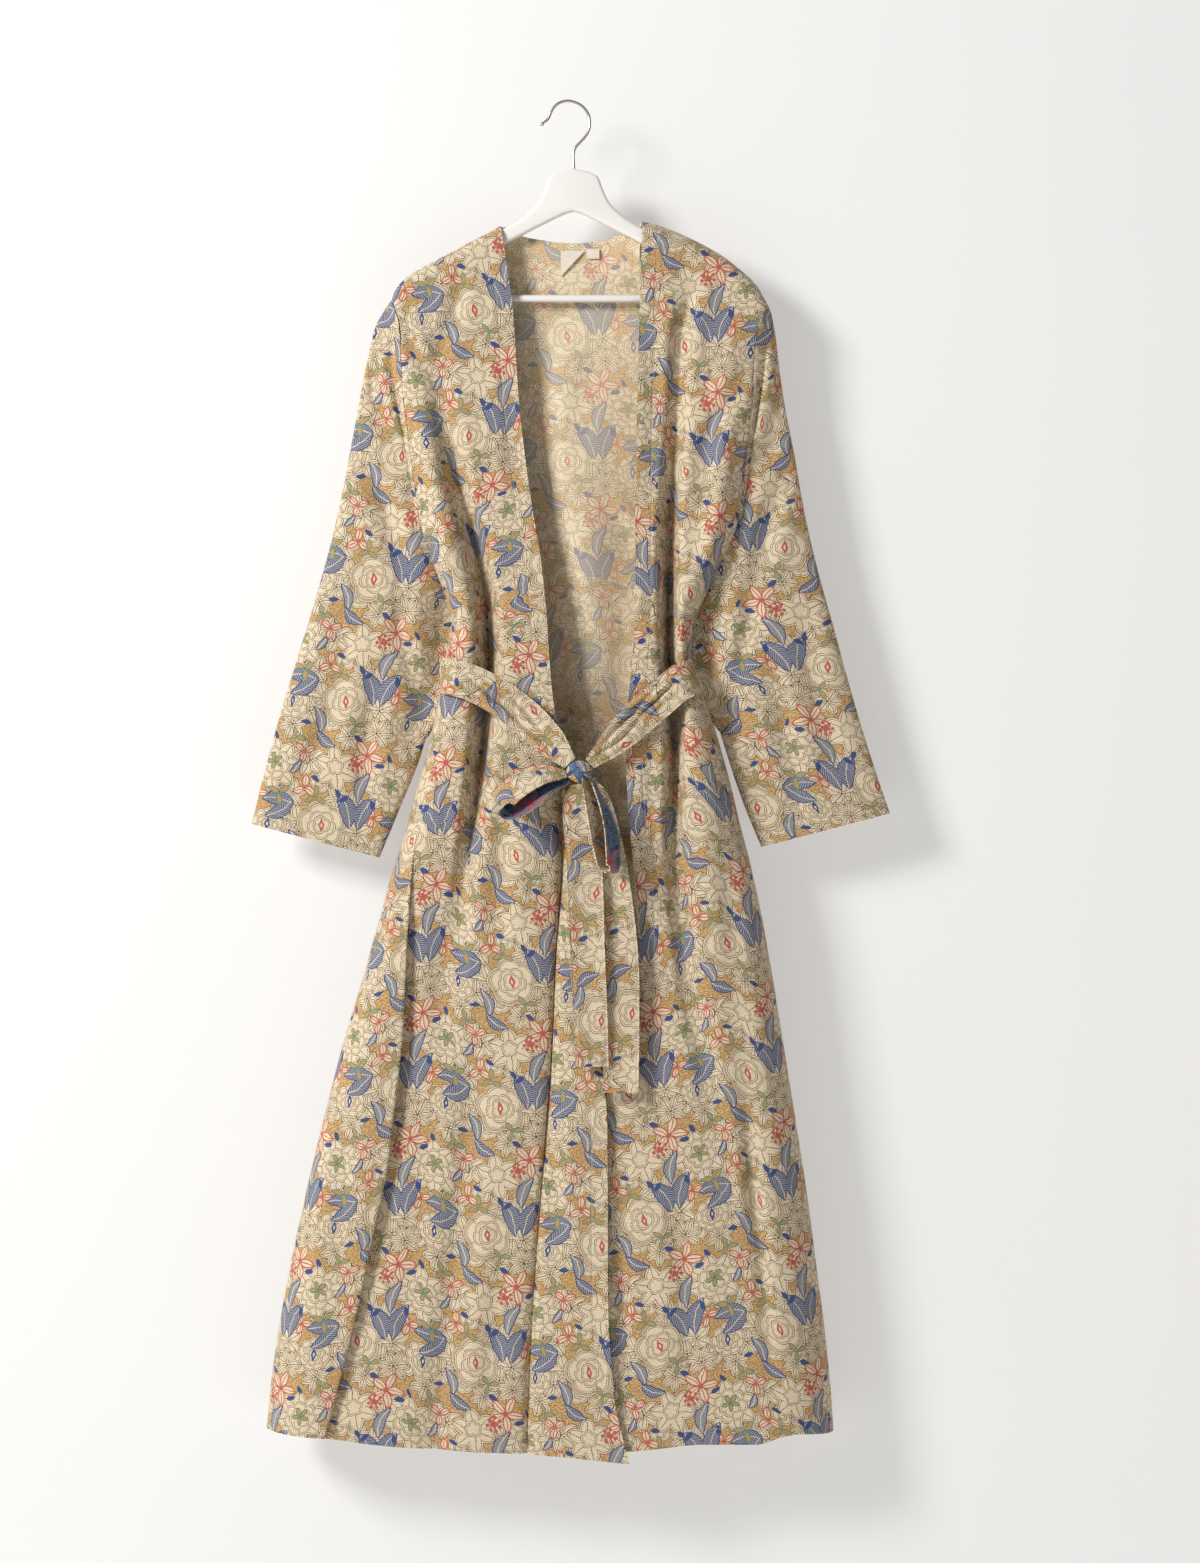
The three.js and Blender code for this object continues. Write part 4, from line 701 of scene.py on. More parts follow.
# Distance of the cloth from the hanger's plane: fullness, folds, creases, faint unevenness.
def depthAt(column, side, x, z, sideX, drop, folds, creases, seed):
    base = read(fullness, "z", column, z)
    arch = quarterRound(np.abs(x - sideX) / read(fullness, "z", "round", z))
    edge = armholeEdge(side, z)
    soft = creaseDepth(creases, x, z) - ripple(x, z, seed)
    full = edge + (base - edge - foldDepth(folds, x, z) - soft) * arch
    return full * quarterRound(drop / topRound)


stripTurn, stripLap, stripReach = 6, 9, 70  # the fold where the left skirt laps over itself
stripDeep = 16  # depth that gives the full lap


def stripShape(x, foldX, z):
    deep = np.where(z < waistZ[0], read(stripFold, "z", "deep", z), 0)
    q = (x - foldX) / stripTurn
    step = clamp((q + 1) / 2)
    return (-stripLap * deep / stripDeep * q * np.exp(0.5 - q * q / 2),
            deep * step * step * (3 - 2 * step) * np.exp(-np.maximum(0, x - foldX) / stripReach))


# One front from the side seam (column 0) to its free edge (last column).
def frontGrid(side, table, topLine, bottomLine, edgeTable, span, layer, down, creases):
    left = side == "l"
    sideZ = np.linspace(table[side + "z"][0], table[side + "z"][-1], down + 1)[:, None]
    sideX = read(table, side + "z", side + "x", sideZ)
    g = (sideZ - sideZ[0]) / (sideZ[-1] - sideZ[0])
    edgeX = read(edgeTable, "z", "x", mix(span[0], span[1], g))
    skirt = table is skirtRows
    foldX = read(stripFold, "z", "x", sideZ) if skirt and left else mix(sideX, edgeX, 0.3)
    if left:
        turn = stripTurn * np.minimum(1, (edgeX - foldX) / 200)
        turn = np.minimum(turn, (foldX - sideX) / 40 * stripTurn)
        near = spread(22, 1.7)[None, :]
        middle = np.linspace(-3, 3, 25)[None, :]
        far = np.linspace(0, 1, 62)[None, 1:]
        s = np.concatenate((mix(sideX, foldX - 3 * turn, near[:, :-1]), foldX + middle * turn,
                            mix(foldX + 3 * turn, edgeX, far)), axis=1)
    else:
        s = mix(sideX, edgeX, spread(96, 1.25)[None, :])
    share = (s - sideX) / (edgeX - sideX)
    top = topLine(s, share)
    z = mix(top, bottomLine(s, share), g)
    drop = np.full_like(z, topRound) if skirt else top - z
    y = depthAt("front", side, s, z, sideX, drop, frontFolds, creases, 1.0) + layer(s, z, edgeX)
    s = s + foldShift(frontFolds, s, z) * clamp(np.abs(s - edgeX) / 30)
    if skirt and left:
        shift, dip = stripShape(s, foldX, sideZ)
        s = s + shift * quarterRound(np.abs(s - sideX) / (2 * stripTurn))
        y = y - dip
    return np.dstack((s, -y, z))


def lapOver(x, z, edgeX):  # below the bow the left front lies on the right one
    return 5 * clamp((-760 - z) / 200) * clamp(1 - (edgeX - x) / 90)


def lapUnder(x, z, edgeX):
    return -6 * clamp((-900 - z) / 120) * clamp(1 - (x - edgeX) / 80)


neckStart, neckEnd = 0.28, 0.72  # places of the two neck points across the back


def backDepth(x, z, leftX, rightX, drop, creases):
    fromLeft, fromRight = (depthAt("back", side, x, z, seamX, drop, backFolds, creases, 4.0)
                           for side, seamX in (("l", leftX), ("r", rightX)))
    return np.where(x - leftX < rightX - x, fromLeft, fromRight)


backWaistRise = 52


def backWaistZ(share):
    return mix(*waistZ, share) + backWaistRise * np.sin(math.pi * share)


def backShares():
    half = 0.5 * spread(56, 1.35)
    return np.concatenate((half, 1 - half[-2::-1]))[None, :]


def backBodiceGrid(down, creases):
    share = backShares()
    g = np.linspace(0, 1, down + 1)[:, None]
    leftZ, rightZ = mix(bodiceRows["lz"][0], waistZ[0], g), mix(bodiceRows["rz"][0], waistZ[1], g)
    leftX = read(bodiceRows, "lz", "lx", leftZ)
    rightX = read(bodiceRows, "rz", "rx", rightZ)
    (leftEnd, rightEnd), (leftNeck, rightNeck) = panelEnds["shoulder"], panelEnds["neck"]
    topX = np.interp(share, (0, neckStart, neckEnd, 1), (leftEnd, leftNeck, rightNeck, rightEnd))
    topZ = np.where(share < neckStart, read(leftShoulder, "x", "z", topX),
                    np.where(share > neckEnd, read(rightShoulder, "x", "z", topX),
                             read(backNeck, "x", "z", topX)))
    x = mix(leftX, rightX, share) + (topX - mix(leftEnd, rightEnd, share)) * (1 - g) ** 1.5
    z = mix(topZ, backWaistZ(share), g)
    drop = topZ - z
    neck = (share > neckStart) & (share < neckEnd)
    y = backDepth(x, z, leftX, rightX, np.where(neck, topRound, drop), creases)
    free = read(backNeck, "x", "y", topX)
    return np.dstack((x, np.where(neck, mix(free, y, clamp(drop / 60)), y), z))


def backSkirtGrid(down, creases):
    share = backShares()
    g = np.linspace(0, 1, down + 1)[:, None]
    sideZ = mix(waistZ[0], skirtRows["lz"][-1], g)
    leftX, rightX = read(skirtRows, "lz", "lx", sideZ), read(skirtRows, "lz", "rx", sideZ)
    x = mix(leftX, rightX, share)
    z = mix(backWaistZ(share), read(backHem, "x", "z", mix(*panelEnds["hem"], share)), g)
    return np.dstack((x, backDepth(x, z, leftX, rightX, np.full_like(z, topRound), creases), z))


sleeveReach = 17  # how far the inner edge goes in behind the body's edge
sleeveDip = {"deep": 18, "at": 0.92, "width": 15}  # the sleeve sinks away behind the body's edge
armholeGroove = {"deep": 8, "at": 0.4, "width": 0.9}  # the dip beside the body, in rings


# A sleeve: rings from the armhole to the cuff, starting at the outer fold, front first.
def sleeveGrid(side, table, down, around, creases, outwards):
    k = np.linspace(-1, 10, down + 1)[:, None]
    angle = np.linspace(0, 2 * math.pi, around + 1)[None, :]
    along = (1 - np.cos(angle)) / 2
    sine = np.sin(angle)
    half = np.sign(sine)
    soft = np.abs(sine) ** 0.5
    ring = np.maximum(k, 0)
    outerX, outerZ, innerX, innerZ, thick, middle = (
        read(table, "k", column, ring) for column in ("ox", "oz", "ix", "iz", "half", "y"))
    near = sleeveReach * np.sin(math.pi * clamp((ring - 0.2) / 7.2)) ** 0.6
    x = mix(outerX, innerX - outwards * near, along)
    z = mix(outerZ, innerZ, along)
    body = (creaseDepth(creases, x, z) - 0.8 * ripple(x, z, 7 + 2 * outwards)
            - 0.3 * ripple(z, x, 3 - outwards)) * soft
    groove = armholeGroove["deep"] * np.exp(-((k - armholeGroove["at"]) / armholeGroove["width"]) ** 2)
    body = body * clamp(ring / 1.2) + groove * np.abs(sine) * clamp(along * 3)
    dip = np.exp(-((along - sleeveDip["at"]) * np.abs(outerX - innerX) / sleeveDip["width"]) ** 2)
    dip = dip * np.maximum(half, 0.15) * soft * np.sin(math.pi * clamp((ring - 0.3) / 7.6)) ** 0.5
    y = middle - half * soft * thick + half * (body + sleeveDip["deep"] * dip)
    top, bottom = bodiceRows[side + "z"][[0, armhole["row"]]]
    t = np.where(angle <= math.pi, angle / math.pi, 2 - angle / math.pi)
    holeZ = mix(top, bottom, t)
    late = t ** 12
    hole = np.dstack((read(bodiceRows, side + "z", side + "x", holeZ) + outwards * mix(0.8, 4.5, late),
                      -half * armholeEdge(side, holeZ), holeZ + 5 * late - 0.8 * (t < 0.02)))
    return mix(hole, np.dstack((x, y, z)), clamp(k + 1)[:, :, None])


# Flat band along a line; lean is the direction across it where it is given.
def ribbonGrid(table, lean, stations, across, curl=0.0, waves=0.0, seed=0.0):
    k = np.linspace(0, table["k"][-1], stations)
    line = np.stack([read(table, "k", c, k) for c in "xyz"], axis=1)
    kernel = np.array([1, 2, 3, 2, 1]) / 9
    for smoothing in range(3):
        padded = np.concatenate((2 * line[:1] - line[2:0:-1], line, 2 * line[-1:] - line[-2:-4:-1]))
        line = np.stack([np.convolve(padded[:, c], kernel, "valid") for c in range(3)], axis=1)
    along = np.gradient(line, axis=0)
    along /= np.linalg.norm(along, axis=1, keepdims=True)
    wide = np.cross(along, (0, 1, 0)) if lean is None else np.tile(np.array(lean, float), (stations, 1))
    wide -= along * np.sum(wide * along, axis=1, keepdims=True)
    wide /= np.linalg.norm(wide, axis=1, keepdims=True)
    outward = np.cross(wide, along)
    s = np.linspace(-1, 1, across)[None, :, None]
    reach = read(table, "k", "half", k)[:, None, None]
    grid = line[:, None, :] + wide[:, None, :] * s * reach
    wave = curl * s * s + waves * np.sin(k[:, None, None] * 1.7 + 2.2 * s + seed) * np.abs(s)
    return grid + outward[:, None, :] * wave


# A place on a front as if pulled taut, out millimetres off it.
def overFront(side, x, z, out):
    def place(atX, atZ):
        sideX = read(skirtRows, "lz", side + "x", atZ)
        inner = np.maximum(atX, sideX + 0.2) if side == "l" else np.minimum(atX, sideX - 0.2)
        base = read(fullness, "z", "front", atZ)
        arch = quarterRound(np.abs(inner - sideX) / read(fullness, "z", "round", atZ))
        ridges = [fold for fold in frontFolds if fold["line"]["deep"].min() < 0]
        return np.dstack((inner, -(base - foldDepth(ridges, inner, atZ)) * arch, atZ))
    alongX = place(x + 0.4, z) - place(x - 0.4, z)
    alongZ = place(x, z + 0.4) - place(x, z - 0.4)
    normal = np.cross(alongX, alongZ)
    normal /= np.linalg.norm(normal, axis=2, keepdims=True)
    normal *= -np.sign(normal[:, :, 1:2] + 1e-9)
    return place(x, z) + normal * out


beltLift, bowY = 6.0, -60  # off the front, and where both halves meet in the knot


def beltGrid(side, table, stations, across, creases):
    flat = dict(table)
    flat["y"] = np.zeros_like(table["x"])
    grid = ribbonGrid(flat, None, stations, across)
    k = np.linspace(0, table["k"][-1], stations)[:, None]
    share = clamp(read(table, "k", "free", k))
    on = overFront(side, grid[:, :, 0], grid[:, :, 2], beltLift)
    soft = creaseDepth(creases, grid[:, :, 0], grid[:, :, 2])
    y = mix(on[:, :, 1], bowY, share) + soft
    return np.dstack((on[:, :, 0], y, grid[:, :, 2]))


frontCreases = rows(creaseRows,
    (-190, -250, -140, -330, 8, 3.6, 6), (-120, -190, -150, -300, 9, 3.0, -5),
    (-60, -560, -128, -600, 7, 3.4, 4), (-40, -520, -110, -560, 8, 3.0, -5),
    (-170, -300, -110, -560, 12, 3.4, -9), (-66, -300, -50, -480, 11, 2.6, 4),
    (150, -200, 120, -330, 9, 3.4, 5), (200, -300, 150, -400, 9, 3.6, -6),
    (160, -560, 118, -620, 7, 3.4, 4), (100, -560, 84, -640, 7, 2.4, 3),
    (170, -330, 150, -560, 10, 3.4, 7), (96, -260, 92, -470, 9, 2.8, -3))
backCreases = rows(creaseRows,
    (-150, -210, -110, -330, 11, 3.0, 6), (160, -210, 120, -330, 11, 3.0, -6),
    (-40, -440, -110, -560, 10, 2.8, 5), (50, -440, 118, -560, 10, 2.8, -5),
    (0, -260, -10, -500, 14, 2.6, 4))
skirtFrontCreases = rows(creaseRows,
    (-60, -740, -80, -980, 12, 4.0, 5), (160, -780, 190, -1010, 12, 4.0, -6),
    (205, -1175, 218, -1290, 8, 3.0, 3), (120, -1210, 134, -1480, 14, 3.4, -6),
    (-240, -1120, -266, -1420, 12, 3.4, 5), (-66, -1240, -86, -1510, 12, 3.4, 4),
    (-96, -700, -128, -900, 8, 4.0, -4), (-130, -800, -150, -1080, 10, 3.2, 4),
    (96, -700, 100, -900, 8, 3.4, 3), (-20, -1060, -14, -1400, 10, 3.0, -4),
    (190, -980, 226, -1240, 12, 3.2, 5), (60, -1180, 70, -1500, 9, 2.8, 3),
    (-156, -1120, -190, -1480, 14, 3.2, -5))
skirtBackCreases = rows(creaseRows,
    (-20, -660, -50, -900, 12, 3.6, 6), (120, -700, 170, -930, 12, 3.8, -6),
    (-180, -900, -230, -1200, 14, 3.6, 6), (60, -1000, 76, -1400, 14, 3.4, 5),
    (-90, -1100, -110, -1480, 14, 3.2, -6), (190, -1080, 220, -1440, 12, 3.2, 5))
facing = {"back": (0, 1, 0), "front": (0, -1, 0)}


def cloth(name, nodes, points, uv, outwards, inks, cut, area, rests, held="hung",
          slot="printed_cloth", **more):
    piece = clothPiece(name, points, uv, outwards, inks, **more)
    standFor(nodes)


rightWaistEdge = -586  # height of the waist at the right front's free edge


def leftWaist(x, share):
    return np.full_like(x, float(waistZ[0]))


def rightWaist(x, share):
    return mix(waistZ[1], rightWaistEdge, share)


def lineThrough(table, start, end):  # the height of an edge by its share from the side
    return lambda x, share: read(table, "x", "z", mix(start, end, clamp(share)))


(leftEnd, rightEnd), (leftNeck, rightNeck), (leftCorner, rightCorner) = (
    panelEnds[place] for place in ("shoulder", "neck", "hem"))
frontLeft = frontGrid("l", bodiceRows, lineThrough(leftShoulder, leftEnd, leftNeck), leftWaist,
                      leftEdge, (-142, waistZ[0]), lapOver, 84, frontCreases)
frontRight = frontGrid("r", bodiceRows, lineThrough(rightShoulder, rightEnd, rightNeck), rightWaist,
                       rightEdge, (-137, rightWaistEdge), lapUnder, 84, frontCreases)
skirtLeft = frontGrid("l", skirtRows, leftWaist, lineThrough(leftHem, leftCorner, 70), leftEdge,
                      (waistZ[0], -1541), lapOver, 180, skirtFrontCreases)
skirtRight = frontGrid("r", skirtRows, rightWaist, lineThrough(rightHem, rightCorner, 26), rightEdge,
                       (rightWaistEdge, -1531), lapUnder, 180, skirtFrontCreases)
backTop = backBodiceGrid(84, backCreases)
backBottom = backSkirtGrid(170, skirtBackCreases)
for name, node, points, grain, side, flat, area, carrier, hems in (
        ("frontBodiceLeft", "front_bodice_left", frontLeft, (-130, 1.0), "front",
         (0.20, 0.50), 0.067, "hanger_body", ("last",)),
        ("frontBodiceRight", "front_bodice_right", frontRight, (130, -1.0, (30, 40)), "front",
         (0.20, 0.50), 0.062, "hanger_body", ("last",)),
        ("frontSkirtLeft", "front_skirt_left", skirtLeft, (-120, 5.5, (12, 30)), "front",
         (0.46, 0.95), 0.30, "frontBodiceLeft", ("bottom", "last")),
        ("frontSkirtRight", "front_skirt_right", skirtRight, (110, -7.0, (70, 10)), "front",
         (0.32, 0.95), 0.20, "frontBodiceRight", ("bottom", "last")),
        ("backBodice", "back_bodice", backTop, (10, 0), "back", (0.45, 0.46), 0.155, "hanger_body", ("top",)),
        ("backSkirt", "back_skirt", backBottom, (0, 0, (50, 90)), "back",
         (0.74, 1.0), 0.50, "backBodice", ("bottom",))):
    cloth(name, node, points, grainUv(points, *grain), facing[side], [outsideHem, inside], flat, area,
          [carrier], edge=edgeUv(points, *hems))
print("fronts and back made")


# Lays a sleeve flat: length along its axis, width round the tube.
def sleeveUv(points, table, shift):
    top, low = (np.array([table["ox"][i] + table["ix"][i], table["oz"][i] + table["iz"][i]]) / 2
                for i in (0, -1))
    axis = (low - top) / np.linalg.norm(low - top)
    v = (points[:, :, 0] - top[0]) * axis[0] + (points[:, :, 2] - top[1]) * axis[1]
    side = (points[:, :, 0] - top[0]) * -axis[1] + (points[:, :, 2] - top[1]) * axis[0]
    deep = np.diff(points[:, :, 1], axis=1)
    u = side[:, :1] + running(np.hypot(np.diff(side, axis=1), deep), 1)
    return turned(u, -v, 0, shift)


sleeveCreasesLeft = rows(creaseRows,
    (-226, -270, -196, -400, 9, 5.0, 8), (-240, -400, -186, -560, 11, 5.0, -10),
    (-192, -540, -166, -700, 9, 4.5, 6), (-250, -560, -300, -790, 13, 3.6, -6),
    (-214, -640, -236, -850, 11, 4.2, 5), (-206, -250, -226, -350, 5, 3.5, 3),
    (-176, -560, -206, -640, 7, 3.0, 4), (-270, -700, -330, -800, 10, 2.4, -4))
sleeveCreasesRight = rows(creaseRows,
    (246, -270, 222, -420, 9, 5.0, -8), (262, -400, 212, -580, 11, 5.0, 10),
    (206, -540, 184, -700, 9, 4.5, -6), (270, -560, 304, -780, 13, 3.6, 6),
    (232, -640, 262, -840, 11, 4.2, -5), (228, -250, 246, -350, 5, 3.5, -3),
    (200, -560, 228, -640, 7, 3.0, -4), (290, -700, 340, -790, 10, 2.4, 4))
for name, node, side, table, creases, outwards, shift in (
        ("sleeveLeft", "sleeve_left_front sleeve_left_back", "l", leftSleeve, sleeveCreasesLeft,
         -1, (20, 66)),
        ("sleeveRight", "sleeve_right_front sleeve_right_back", "r", rightSleeve, sleeveCreasesRight,
         1, (88, 30))):
    grid = sleeveGrid(side, table, 110, 96, creases, outwards)
    cloth(name, node, grid, sleeveUv(grid, table, shift), (-outwards, 0, 0), [outsideHem, inside],
          (0.42, 0.64), 0.16, ["frontBodiceLeft" if side == "l" else "frontBodiceRight"],
          edge=edgeUv(grid, "bottom"), closed=True)
print("sleeves made")

beltWall = 2.6
bandShows = 0.95  # share of a band's flat area that shows
beltCreases = rows(creaseRows,
    (-128, -640, -60, -700, 3.0, 3.4, 2), (-100, -672, -20, -735, 3.2, 3.8, -2),
    (-70, -668, -6, -742, 2.6, 3.2, 2), (-118, -668, -80, -690, 3, 2.4, 1),
    (-132, -662, -92, -682, 2.4, 2.6, -1), (-60, -704, -14, -742, 2.4, 3.0, 1),
    (130, -655, 70, -706, 3.0, 3.4, -2), (100, -672, 34, -742, 3.2, 4.0, 2),
    (84, -706, 30, -748, 2.6, 3.2, -2), (128, -676, 100, -690, 3, 2.4, 1),
    (120, -664, 60, -726, 2.4, 3.0, 1))


def band(name, node, grid, lining, flat, carrier, wall=beltWall, held="hung"):
    v = running(np.linalg.norm(np.diff(grid[:, grid.shape[1] // 2], axis=0), axis=1), 0)
    width = np.linalg.norm(grid[:, 0] - grid[:, -1], axis=1)
    s = np.linspace(-0.5, 0.5, grid.shape[1])
    uv = np.dstack((width[:, None] * s[None, :], np.tile(v[:, None], (1, grid.shape[1]))))
    cloth(name, node, grid, uv, facing["front"], [beltCloth, lining], flat, flat[0] * flat[1] * bandShows,
          [carrier], held=held, slot="belt_cloth", lift=wall / 2, thick=wall,
          edge=edgeUv(grid, "last", "first"))


loop = {"wall": 1.4, "held": "folded"}
band("beltLeft", "belt_left", beltGrid("l", beltLeft, 90, 21, beltCreases), beltCloth,
     (0.040, 0.19), "frontSkirtLeft")
band("beltRight", "belt_right", beltGrid("r", beltRight, 80, 21, beltCreases), beltCloth,
     (0.040, 0.17), "frontSkirtRight")
band("bowLoopLeft", "bow_loop_left", ribbonGrid(loopLeft, (0.25, -0.72, -0.62), 90, 19, waves=0.8),
     beltVivid, (0.036, 0.17), "beltKnot", **loop)
band("bowLoopRight", "bow_loop_right", ribbonGrid(loopRight, (-0.5, -0.86, 0.1), 90, 19, waves=0.8),
     beltVivid, (0.032, 0.22), "beltKnot", **loop)
band("beltTailLeft", "belt_tail_left", ribbonGrid(tailLeft, None, 90, 21, curl=-1.5, waves=1.2),
     beltCloth, (0.040, 0.32), "beltKnot")
band("beltTailRight", "belt_tail_right", ribbonGrid(tailRight, None, 100, 21, curl=-1.5, waves=1.2, seed=2),
     beltCloth, (0.040, 0.36), "beltKnot")
print("belt made")

knot = {"at": (14, -60, -764), "size": (15, 10, 13), "folds": 7, "fold": 0.09}


def knotPiece():
    bm = bmesh.new()
    bmesh.ops.create_uvsphere(bm, u_segments=64, v_segments=40, radius=1)
    for vert in bm.verts:
        p = vert.co
        around = math.atan2(p.z, p.x)
        wave = math.cos(knot["folds"] * around * 0.5 + 5 * p.z + 2.4 * p.x)
        groove = 1 - knot["fold"] * (0.5 + 0.5 * wave) ** 2
        vert.co = Vector([(c + q * r * groove) * mm for c, q, r in zip(knot["at"], p, knot["size"])])
    printLayer, edgeLayer = (bm.loops.layers.uv.new(layer) for layer in ("print", "edge"))
    for face in bm.faces:
        for corner in face.loops:
            co = corner.vert.co
            corner[printLayer].uv = (co.x * 1.1 + co.z * 0.4, co.z - co.x * 0.5)
            corner[edgeLayer].uv = (0, 0.1)
        face.smooth = True
    mesh = meshFrom(bm, "beltKnot")
    piece = put("beltKnot", mesh)
    mesh.materials.append(beltCloth)
    mesh.materials.append(beltVivid)
    for face in mesh.polygons:  # two of the wraps show the other side of the cloth
        p = (face.center / mm - Vector(knot["at"])) / knot["size"][0]
        face.material_index = int(math.cos(3.4 * p.x + 2.2 * p.z + 0.6) > 0.25)
    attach(piece, "root")
    standFor("belt_knot")


knotPiece()
print("knot made")
tape = {"wall": 0.6, "weave": 1.2}


def tapeCloth():
    material, shader, start = newMaterial("labelTape", 0.7)
    place = start.add("TexCoord", None, None, 3)
    spot = place.vector("MULTIPLY", place, (1000, 1000, 1000))
    turns = 2 * math.pi / tape["weave"]
    x, z = spot.dot((turns, 0, 0)), spot.dot((0, 0, turns))
    weave = x.maths("SINE", x) * z.maths("SINE", z)
    cloud = spot.noise(0.2, 2.0)
    shade = weave.plus(0.03, cloud.plus(0.12, 0.88))
    colour = shade.tint((0.83, 0.75, 0.62), 1.0, "MULTIPLY")
    wireTo(shader, "Base Color", colour)
    wireTo(shader, "Normal", weave.bump(0.15, 0.6))
    return material


labelTape = tapeCloth()


tapeY = 9.7  # in front of the back's neck edge


def labelGrid(left, right, top, bottom, corner):
    t = np.linspace(0, 1, 25)[:, None]
    s = np.linspace(0, 1, 25)[None, :]
    far = mix(right, left + 0.4, t) if corner else np.full_like(t, right)
    x = mix(left, far, s)
    z = mix(top, bottom, t) + 0 * s
    y = tapeY - 1.2 * np.sin(t * math.pi) * (0.4 + 0.6 * s)
    return np.dstack((x, y, z))


for name, node, size, cut, corner in (
        ("neckLabel", "neck_label", (-8, 19, -168, -197), (0.029, 0.030), True),
        ("sizeTab", "size_tab", (21.5, 36, -166, -177), (0.0145, 0.011), False)):
    grid = labelGrid(*size, corner)
    cloth(name, node, grid, grid[:, :, [0, 2]], facing["front"], [labelTape, labelTape], cut,
          cut[0] * cut[1] * (0.5 if corner else 1.0), ["backBodice"], slot="label_cloth",
          lift=tape["wall"] / 2, thick=tape["wall"])
print("labels made")


def paintedWood():
    material, shader, start = newMaterial("whitePaint", 0.4)
    shader.inputs["Coat Weight"].default_value = 0.25
    place = start.add("TexCoord", None, None, 3)
    grain = place.vector("MULTIPLY", place, (40, 300, 300)).noise(1.0, 3.0)
    cloud = place.noise(60.0, 2.0)
    colour = grain.plus(0.04, 0.97).tint((0.87, 0.85, 0.81), 1.0, "MULTIPLY")
    wireTo(shader, "Base Color", colour)
    wireTo(shader, "Roughness", cloud.plus(0.2, 0.32))
    wireTo(shader, "Normal", grain.bump(0.1, 0.5))
    return material


def brushedSteel():
    material, shader, start = newMaterial("satinSteel", 0.3)
    shader.inputs["Metallic"].default_value = 1.0
    place = start.add("TexCoord", None, None, 3)
    lines = place.vector("MULTIPLY", place, (900, 900, 250)).noise(3.0, 3.0)
    wireTo(shader, "Base Color", lines.plus(0.15, 0.9).tint((0.56, 0.55, 0.53), 1.0, "MULTIPLY"))
    wireTo(shader, "Roughness", lines.plus(0.25, 0.18))
    wireTo(shader, "Normal", lines.bump(0.03, 0.4))
    return material


whitePaint = paintedWood()
satinSteel = brushedSteel()
hanger = {"middle": 7, "thick": 12, "round": 3.6, "bar": 4, "barHeight": -224, "barHalf": 171.7}


def finished(name, node, bm, material):
    bmesh.ops.recalc_face_normals(bm, faces=bm.faces)
    for face in bm.faces:
        face.smooth = True
    mesh = meshFrom(bm, name)
    mesh.materials.append(material)
    mesh.set_sharp_from_angle(angle=math.radians(40))
    piece = put(name, mesh)
    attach(piece, "root")
    standFor(node)


def hangerBody():
    k = np.linspace(0, 21, 148)
    half = list(zip(read(hangerOutline, "k", "r", k), read(hangerOutline, "k", "z", k)))
    outline = half + [(-r, z) for r, z in reversed(half[1:-1])]
    bm = bmesh.new()
    deep = hanger["thick"] / 2
    verts = [bm.verts.new(((hanger["middle"] + r) * mm, -deep * mm, z * mm)) for r, z in outline]
    face = bm.faces.new(verts)
    made = bmesh.ops.extrude_face_region(bm, geom=[face])
    moved = [v for v in made["geom"] if isinstance(v, bmesh.types.BMVert)]
    bmesh.ops.translate(bm, verts=moved, vec=(0, hanger["thick"] * mm, 0))
    rims = [e for e in bm.edges if abs(e.verts[0].co.y - e.verts[1].co.y) < 1e-6]
    bmesh.ops.bevel(bm, geom=rims, offset=hanger["round"] * mm, segments=5, profile=0.5, affect="EDGES",
                    material=-1, clamp_overlap=True)
    finished("hangerBody", "hanger_body", bm, whitePaint)


def trouserBar():
    bm = bmesh.new()
    radius = hanger["bar"] * mm
    bmesh.ops.create_cone(bm, cap_ends=True, segments=40, radius1=radius, radius2=radius,
                          depth=2 * hanger["barHalf"] * mm)
    ends = [e for e in bm.edges if abs(e.verts[0].co.z - e.verts[1].co.z) < 1e-6]
    bmesh.ops.bevel(bm, geom=ends, offset=0.8 * mm, segments=3, profile=0.5, affect="EDGES", material=-1)
    bmesh.ops.rotate(bm, verts=bm.verts, cent=(0, 0, 0), matrix=Matrix.Rotation(math.radians(90), 3, "Y"))
    bmesh.ops.translate(bm, verts=bm.verts, vec=(hanger["middle"] * mm, 0, hanger["barHeight"] * mm))
    finished("trouserBar", "trouser_bar", bm, whitePaint)


hook = {"wire": 1.7, "bead": 2.6, "foot": (-27, -23), "lean": (0.78, 0.62)}


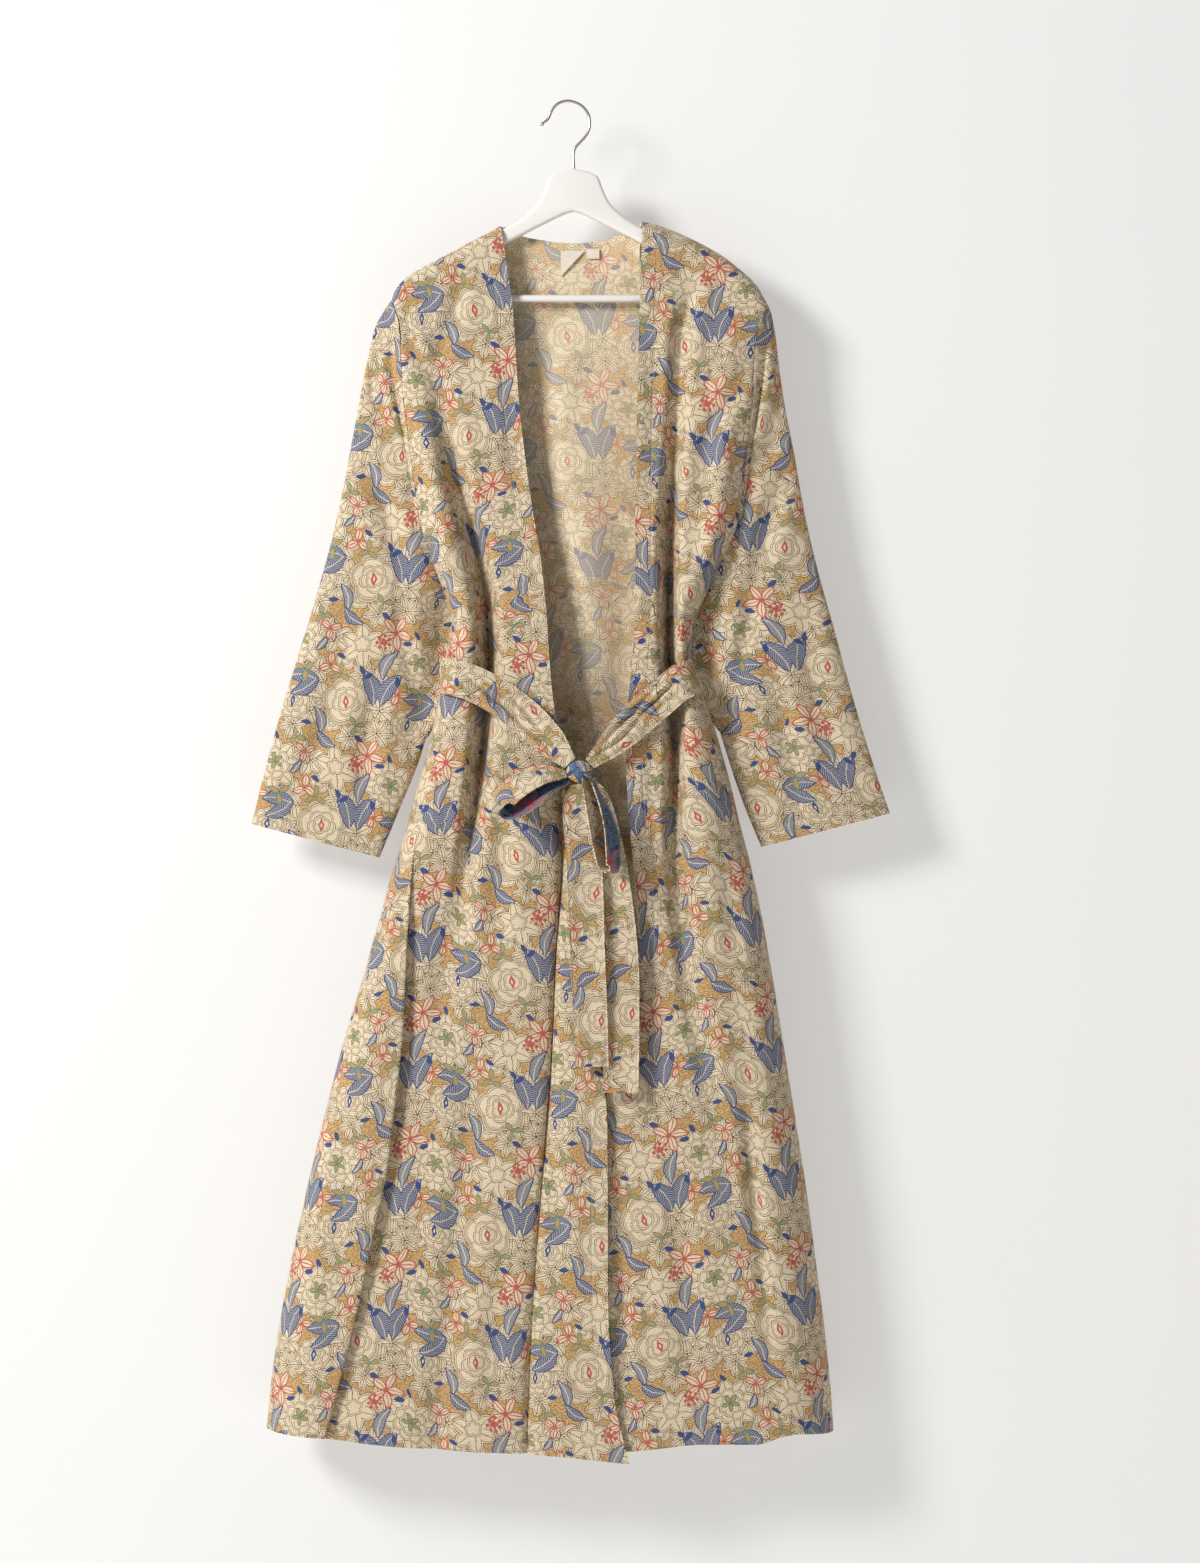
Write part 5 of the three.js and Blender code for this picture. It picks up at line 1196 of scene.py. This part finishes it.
def hookWire():
    k = np.linspace(0, 13, 200)
    x, z = read(hookLine, "k", "x", k), read(hookLine, "k", "z", k)
    kernel = np.array([1, 4, 9, 14, 17, 14, 9, 4, 1]) / 73
    for smoothing in range(4):
        x[4:-4], z[4:-4] = np.convolve(x, kernel, "valid"), np.convolve(z, kernel, "valid")
    bm = bmesh.new()
    bmesh.ops.create_cone(bm, cap_ends=True, segments=20, radius1=1, radius2=1, depth=1)
    wall = [e for e in bm.edges if abs(e.verts[0].co.z - e.verts[1].co.z) > 0.5]
    bmesh.ops.subdivide_edges(bm, edges=wall, cuts=len(k) - 2, use_grid_fill=True)
    dx, dz = np.gradient(x), np.gradient(z)
    long = np.hypot(dx, dz)
    for vert in bm.verts:
        i = int(round((vert.co.z + 0.5) * (len(k) - 1)))
        side, across = vert.co.x * hook["wire"], vert.co.y * hook["wire"]
        vert.co = Vector((x[i] - side * dz[i] / long[i], across, z[i] + side * dx[i] / long[i])) * mm
    finished("hangerHook", "hanger_hook", bm, satinSteel)
    bm = bmesh.new()
    bmesh.ops.create_uvsphere(bm, u_segments=28, v_segments=18, radius=hook["bead"] * mm)
    towards = Vector((hook["lean"][0], 0, hook["lean"][1]))
    middle = (Vector((hook["foot"][0], 0, hook["foot"][1])) - towards * (hook["bead"] + 0.2)) * mm
    bmesh.ops.translate(bm, verts=bm.verts, vec=middle)
    for vert in bm.verts:  # the bead's foot runs into the wire
        local = vert.co - middle
        share = max(0, local.dot(towards) / (hook["bead"] * mm))
        vert.co -= (local - towards * local.dot(towards)) * 0.35 * share ** 2
    finished("hookBead", "hook_bead", bm, satinSteel)


hangerBody()
trouserBar()
hookWire()
print("hanger made")

stageLook = {"wall": 0.064, "floor": -1.75, "top": 2.5, "half": 4, "paint": (0.545, 0.538, 0.528),
             "glow": 0.37}


def paleStage(name, colour):
    material, shader, start = newMaterial(name, 0.9)
    shader.inputs["Emission Color"].default_value = (1, 0.992, 0.98, 1)
    shader.inputs["Emission Strength"].default_value = stageLook["glow"]
    place = start.add("TexCoord", None, None, 3)
    cloud = place.noise(3.0, 2.0)
    wireTo(shader, "Base Color", cloud.plus(0.02, 0.99).tint(colour, 1.0, "MULTIPLY"))
    tree = material.node_tree
    clear = start.add("BsdfTransparent")
    back = start.add("NewGeometry", None, None, 6)
    both = start.add("MixShader", None, {0: back, 1: Wire(shader.outputs[0]), 2: clear})
    tree.links.new(both.socket, tree.nodes["Material Output"].inputs["Surface"])
    return material


paint = paleStage("studioPaint", stageLook["paint"])
for name, corners in (
        ("wall", [(x, stageLook["wall"], stageLook[level]) for x, level in (
            (-1, "floor"), (1, "floor"), (1, "top"), (-1, "top"))]),
        ("floor", [(x, y, stageLook["floor"]) for x, y in ((-1, -5), (1, -5), (1, 4), (-1, 4))])):
    bm = bmesh.new()
    bm.faces.new([bm.verts.new((stageLook["half"] * x, y, z)) for x, y, z in corners])
    mesh = meshFrom(bm, name)
    mesh.materials.append(paint)
    put(name, mesh)

lights = {"key": ((-2.6, -2.3, 0.9), 0.95, 141), "fill": ((2.4, -3.2, -0.4), 2.4, 4)}
for name, (place, size, power) in lights.items():
    lamp = put(name, bpy.data.lights.new(name, "AREA"))
    lamp.data.energy = power
    lamp.data.size = size
    lamp.location = place
    lamp.rotation_euler = (Vector((0, 0, -0.8)) - Vector(place)).to_track_quat("-Z", "Y").to_euler()
scene.world = bpy.data.worlds.new("studio")
scene.world.use_nodes = True
sky = scene.world.node_tree.nodes["Background"]
sky.inputs["Color"].default_value = (1.0, 0.985, 0.965, 1)
sky.inputs["Strength"].default_value = 0.19
scene.view_settings.view_transform = "Standard"

print("stage and lights made")
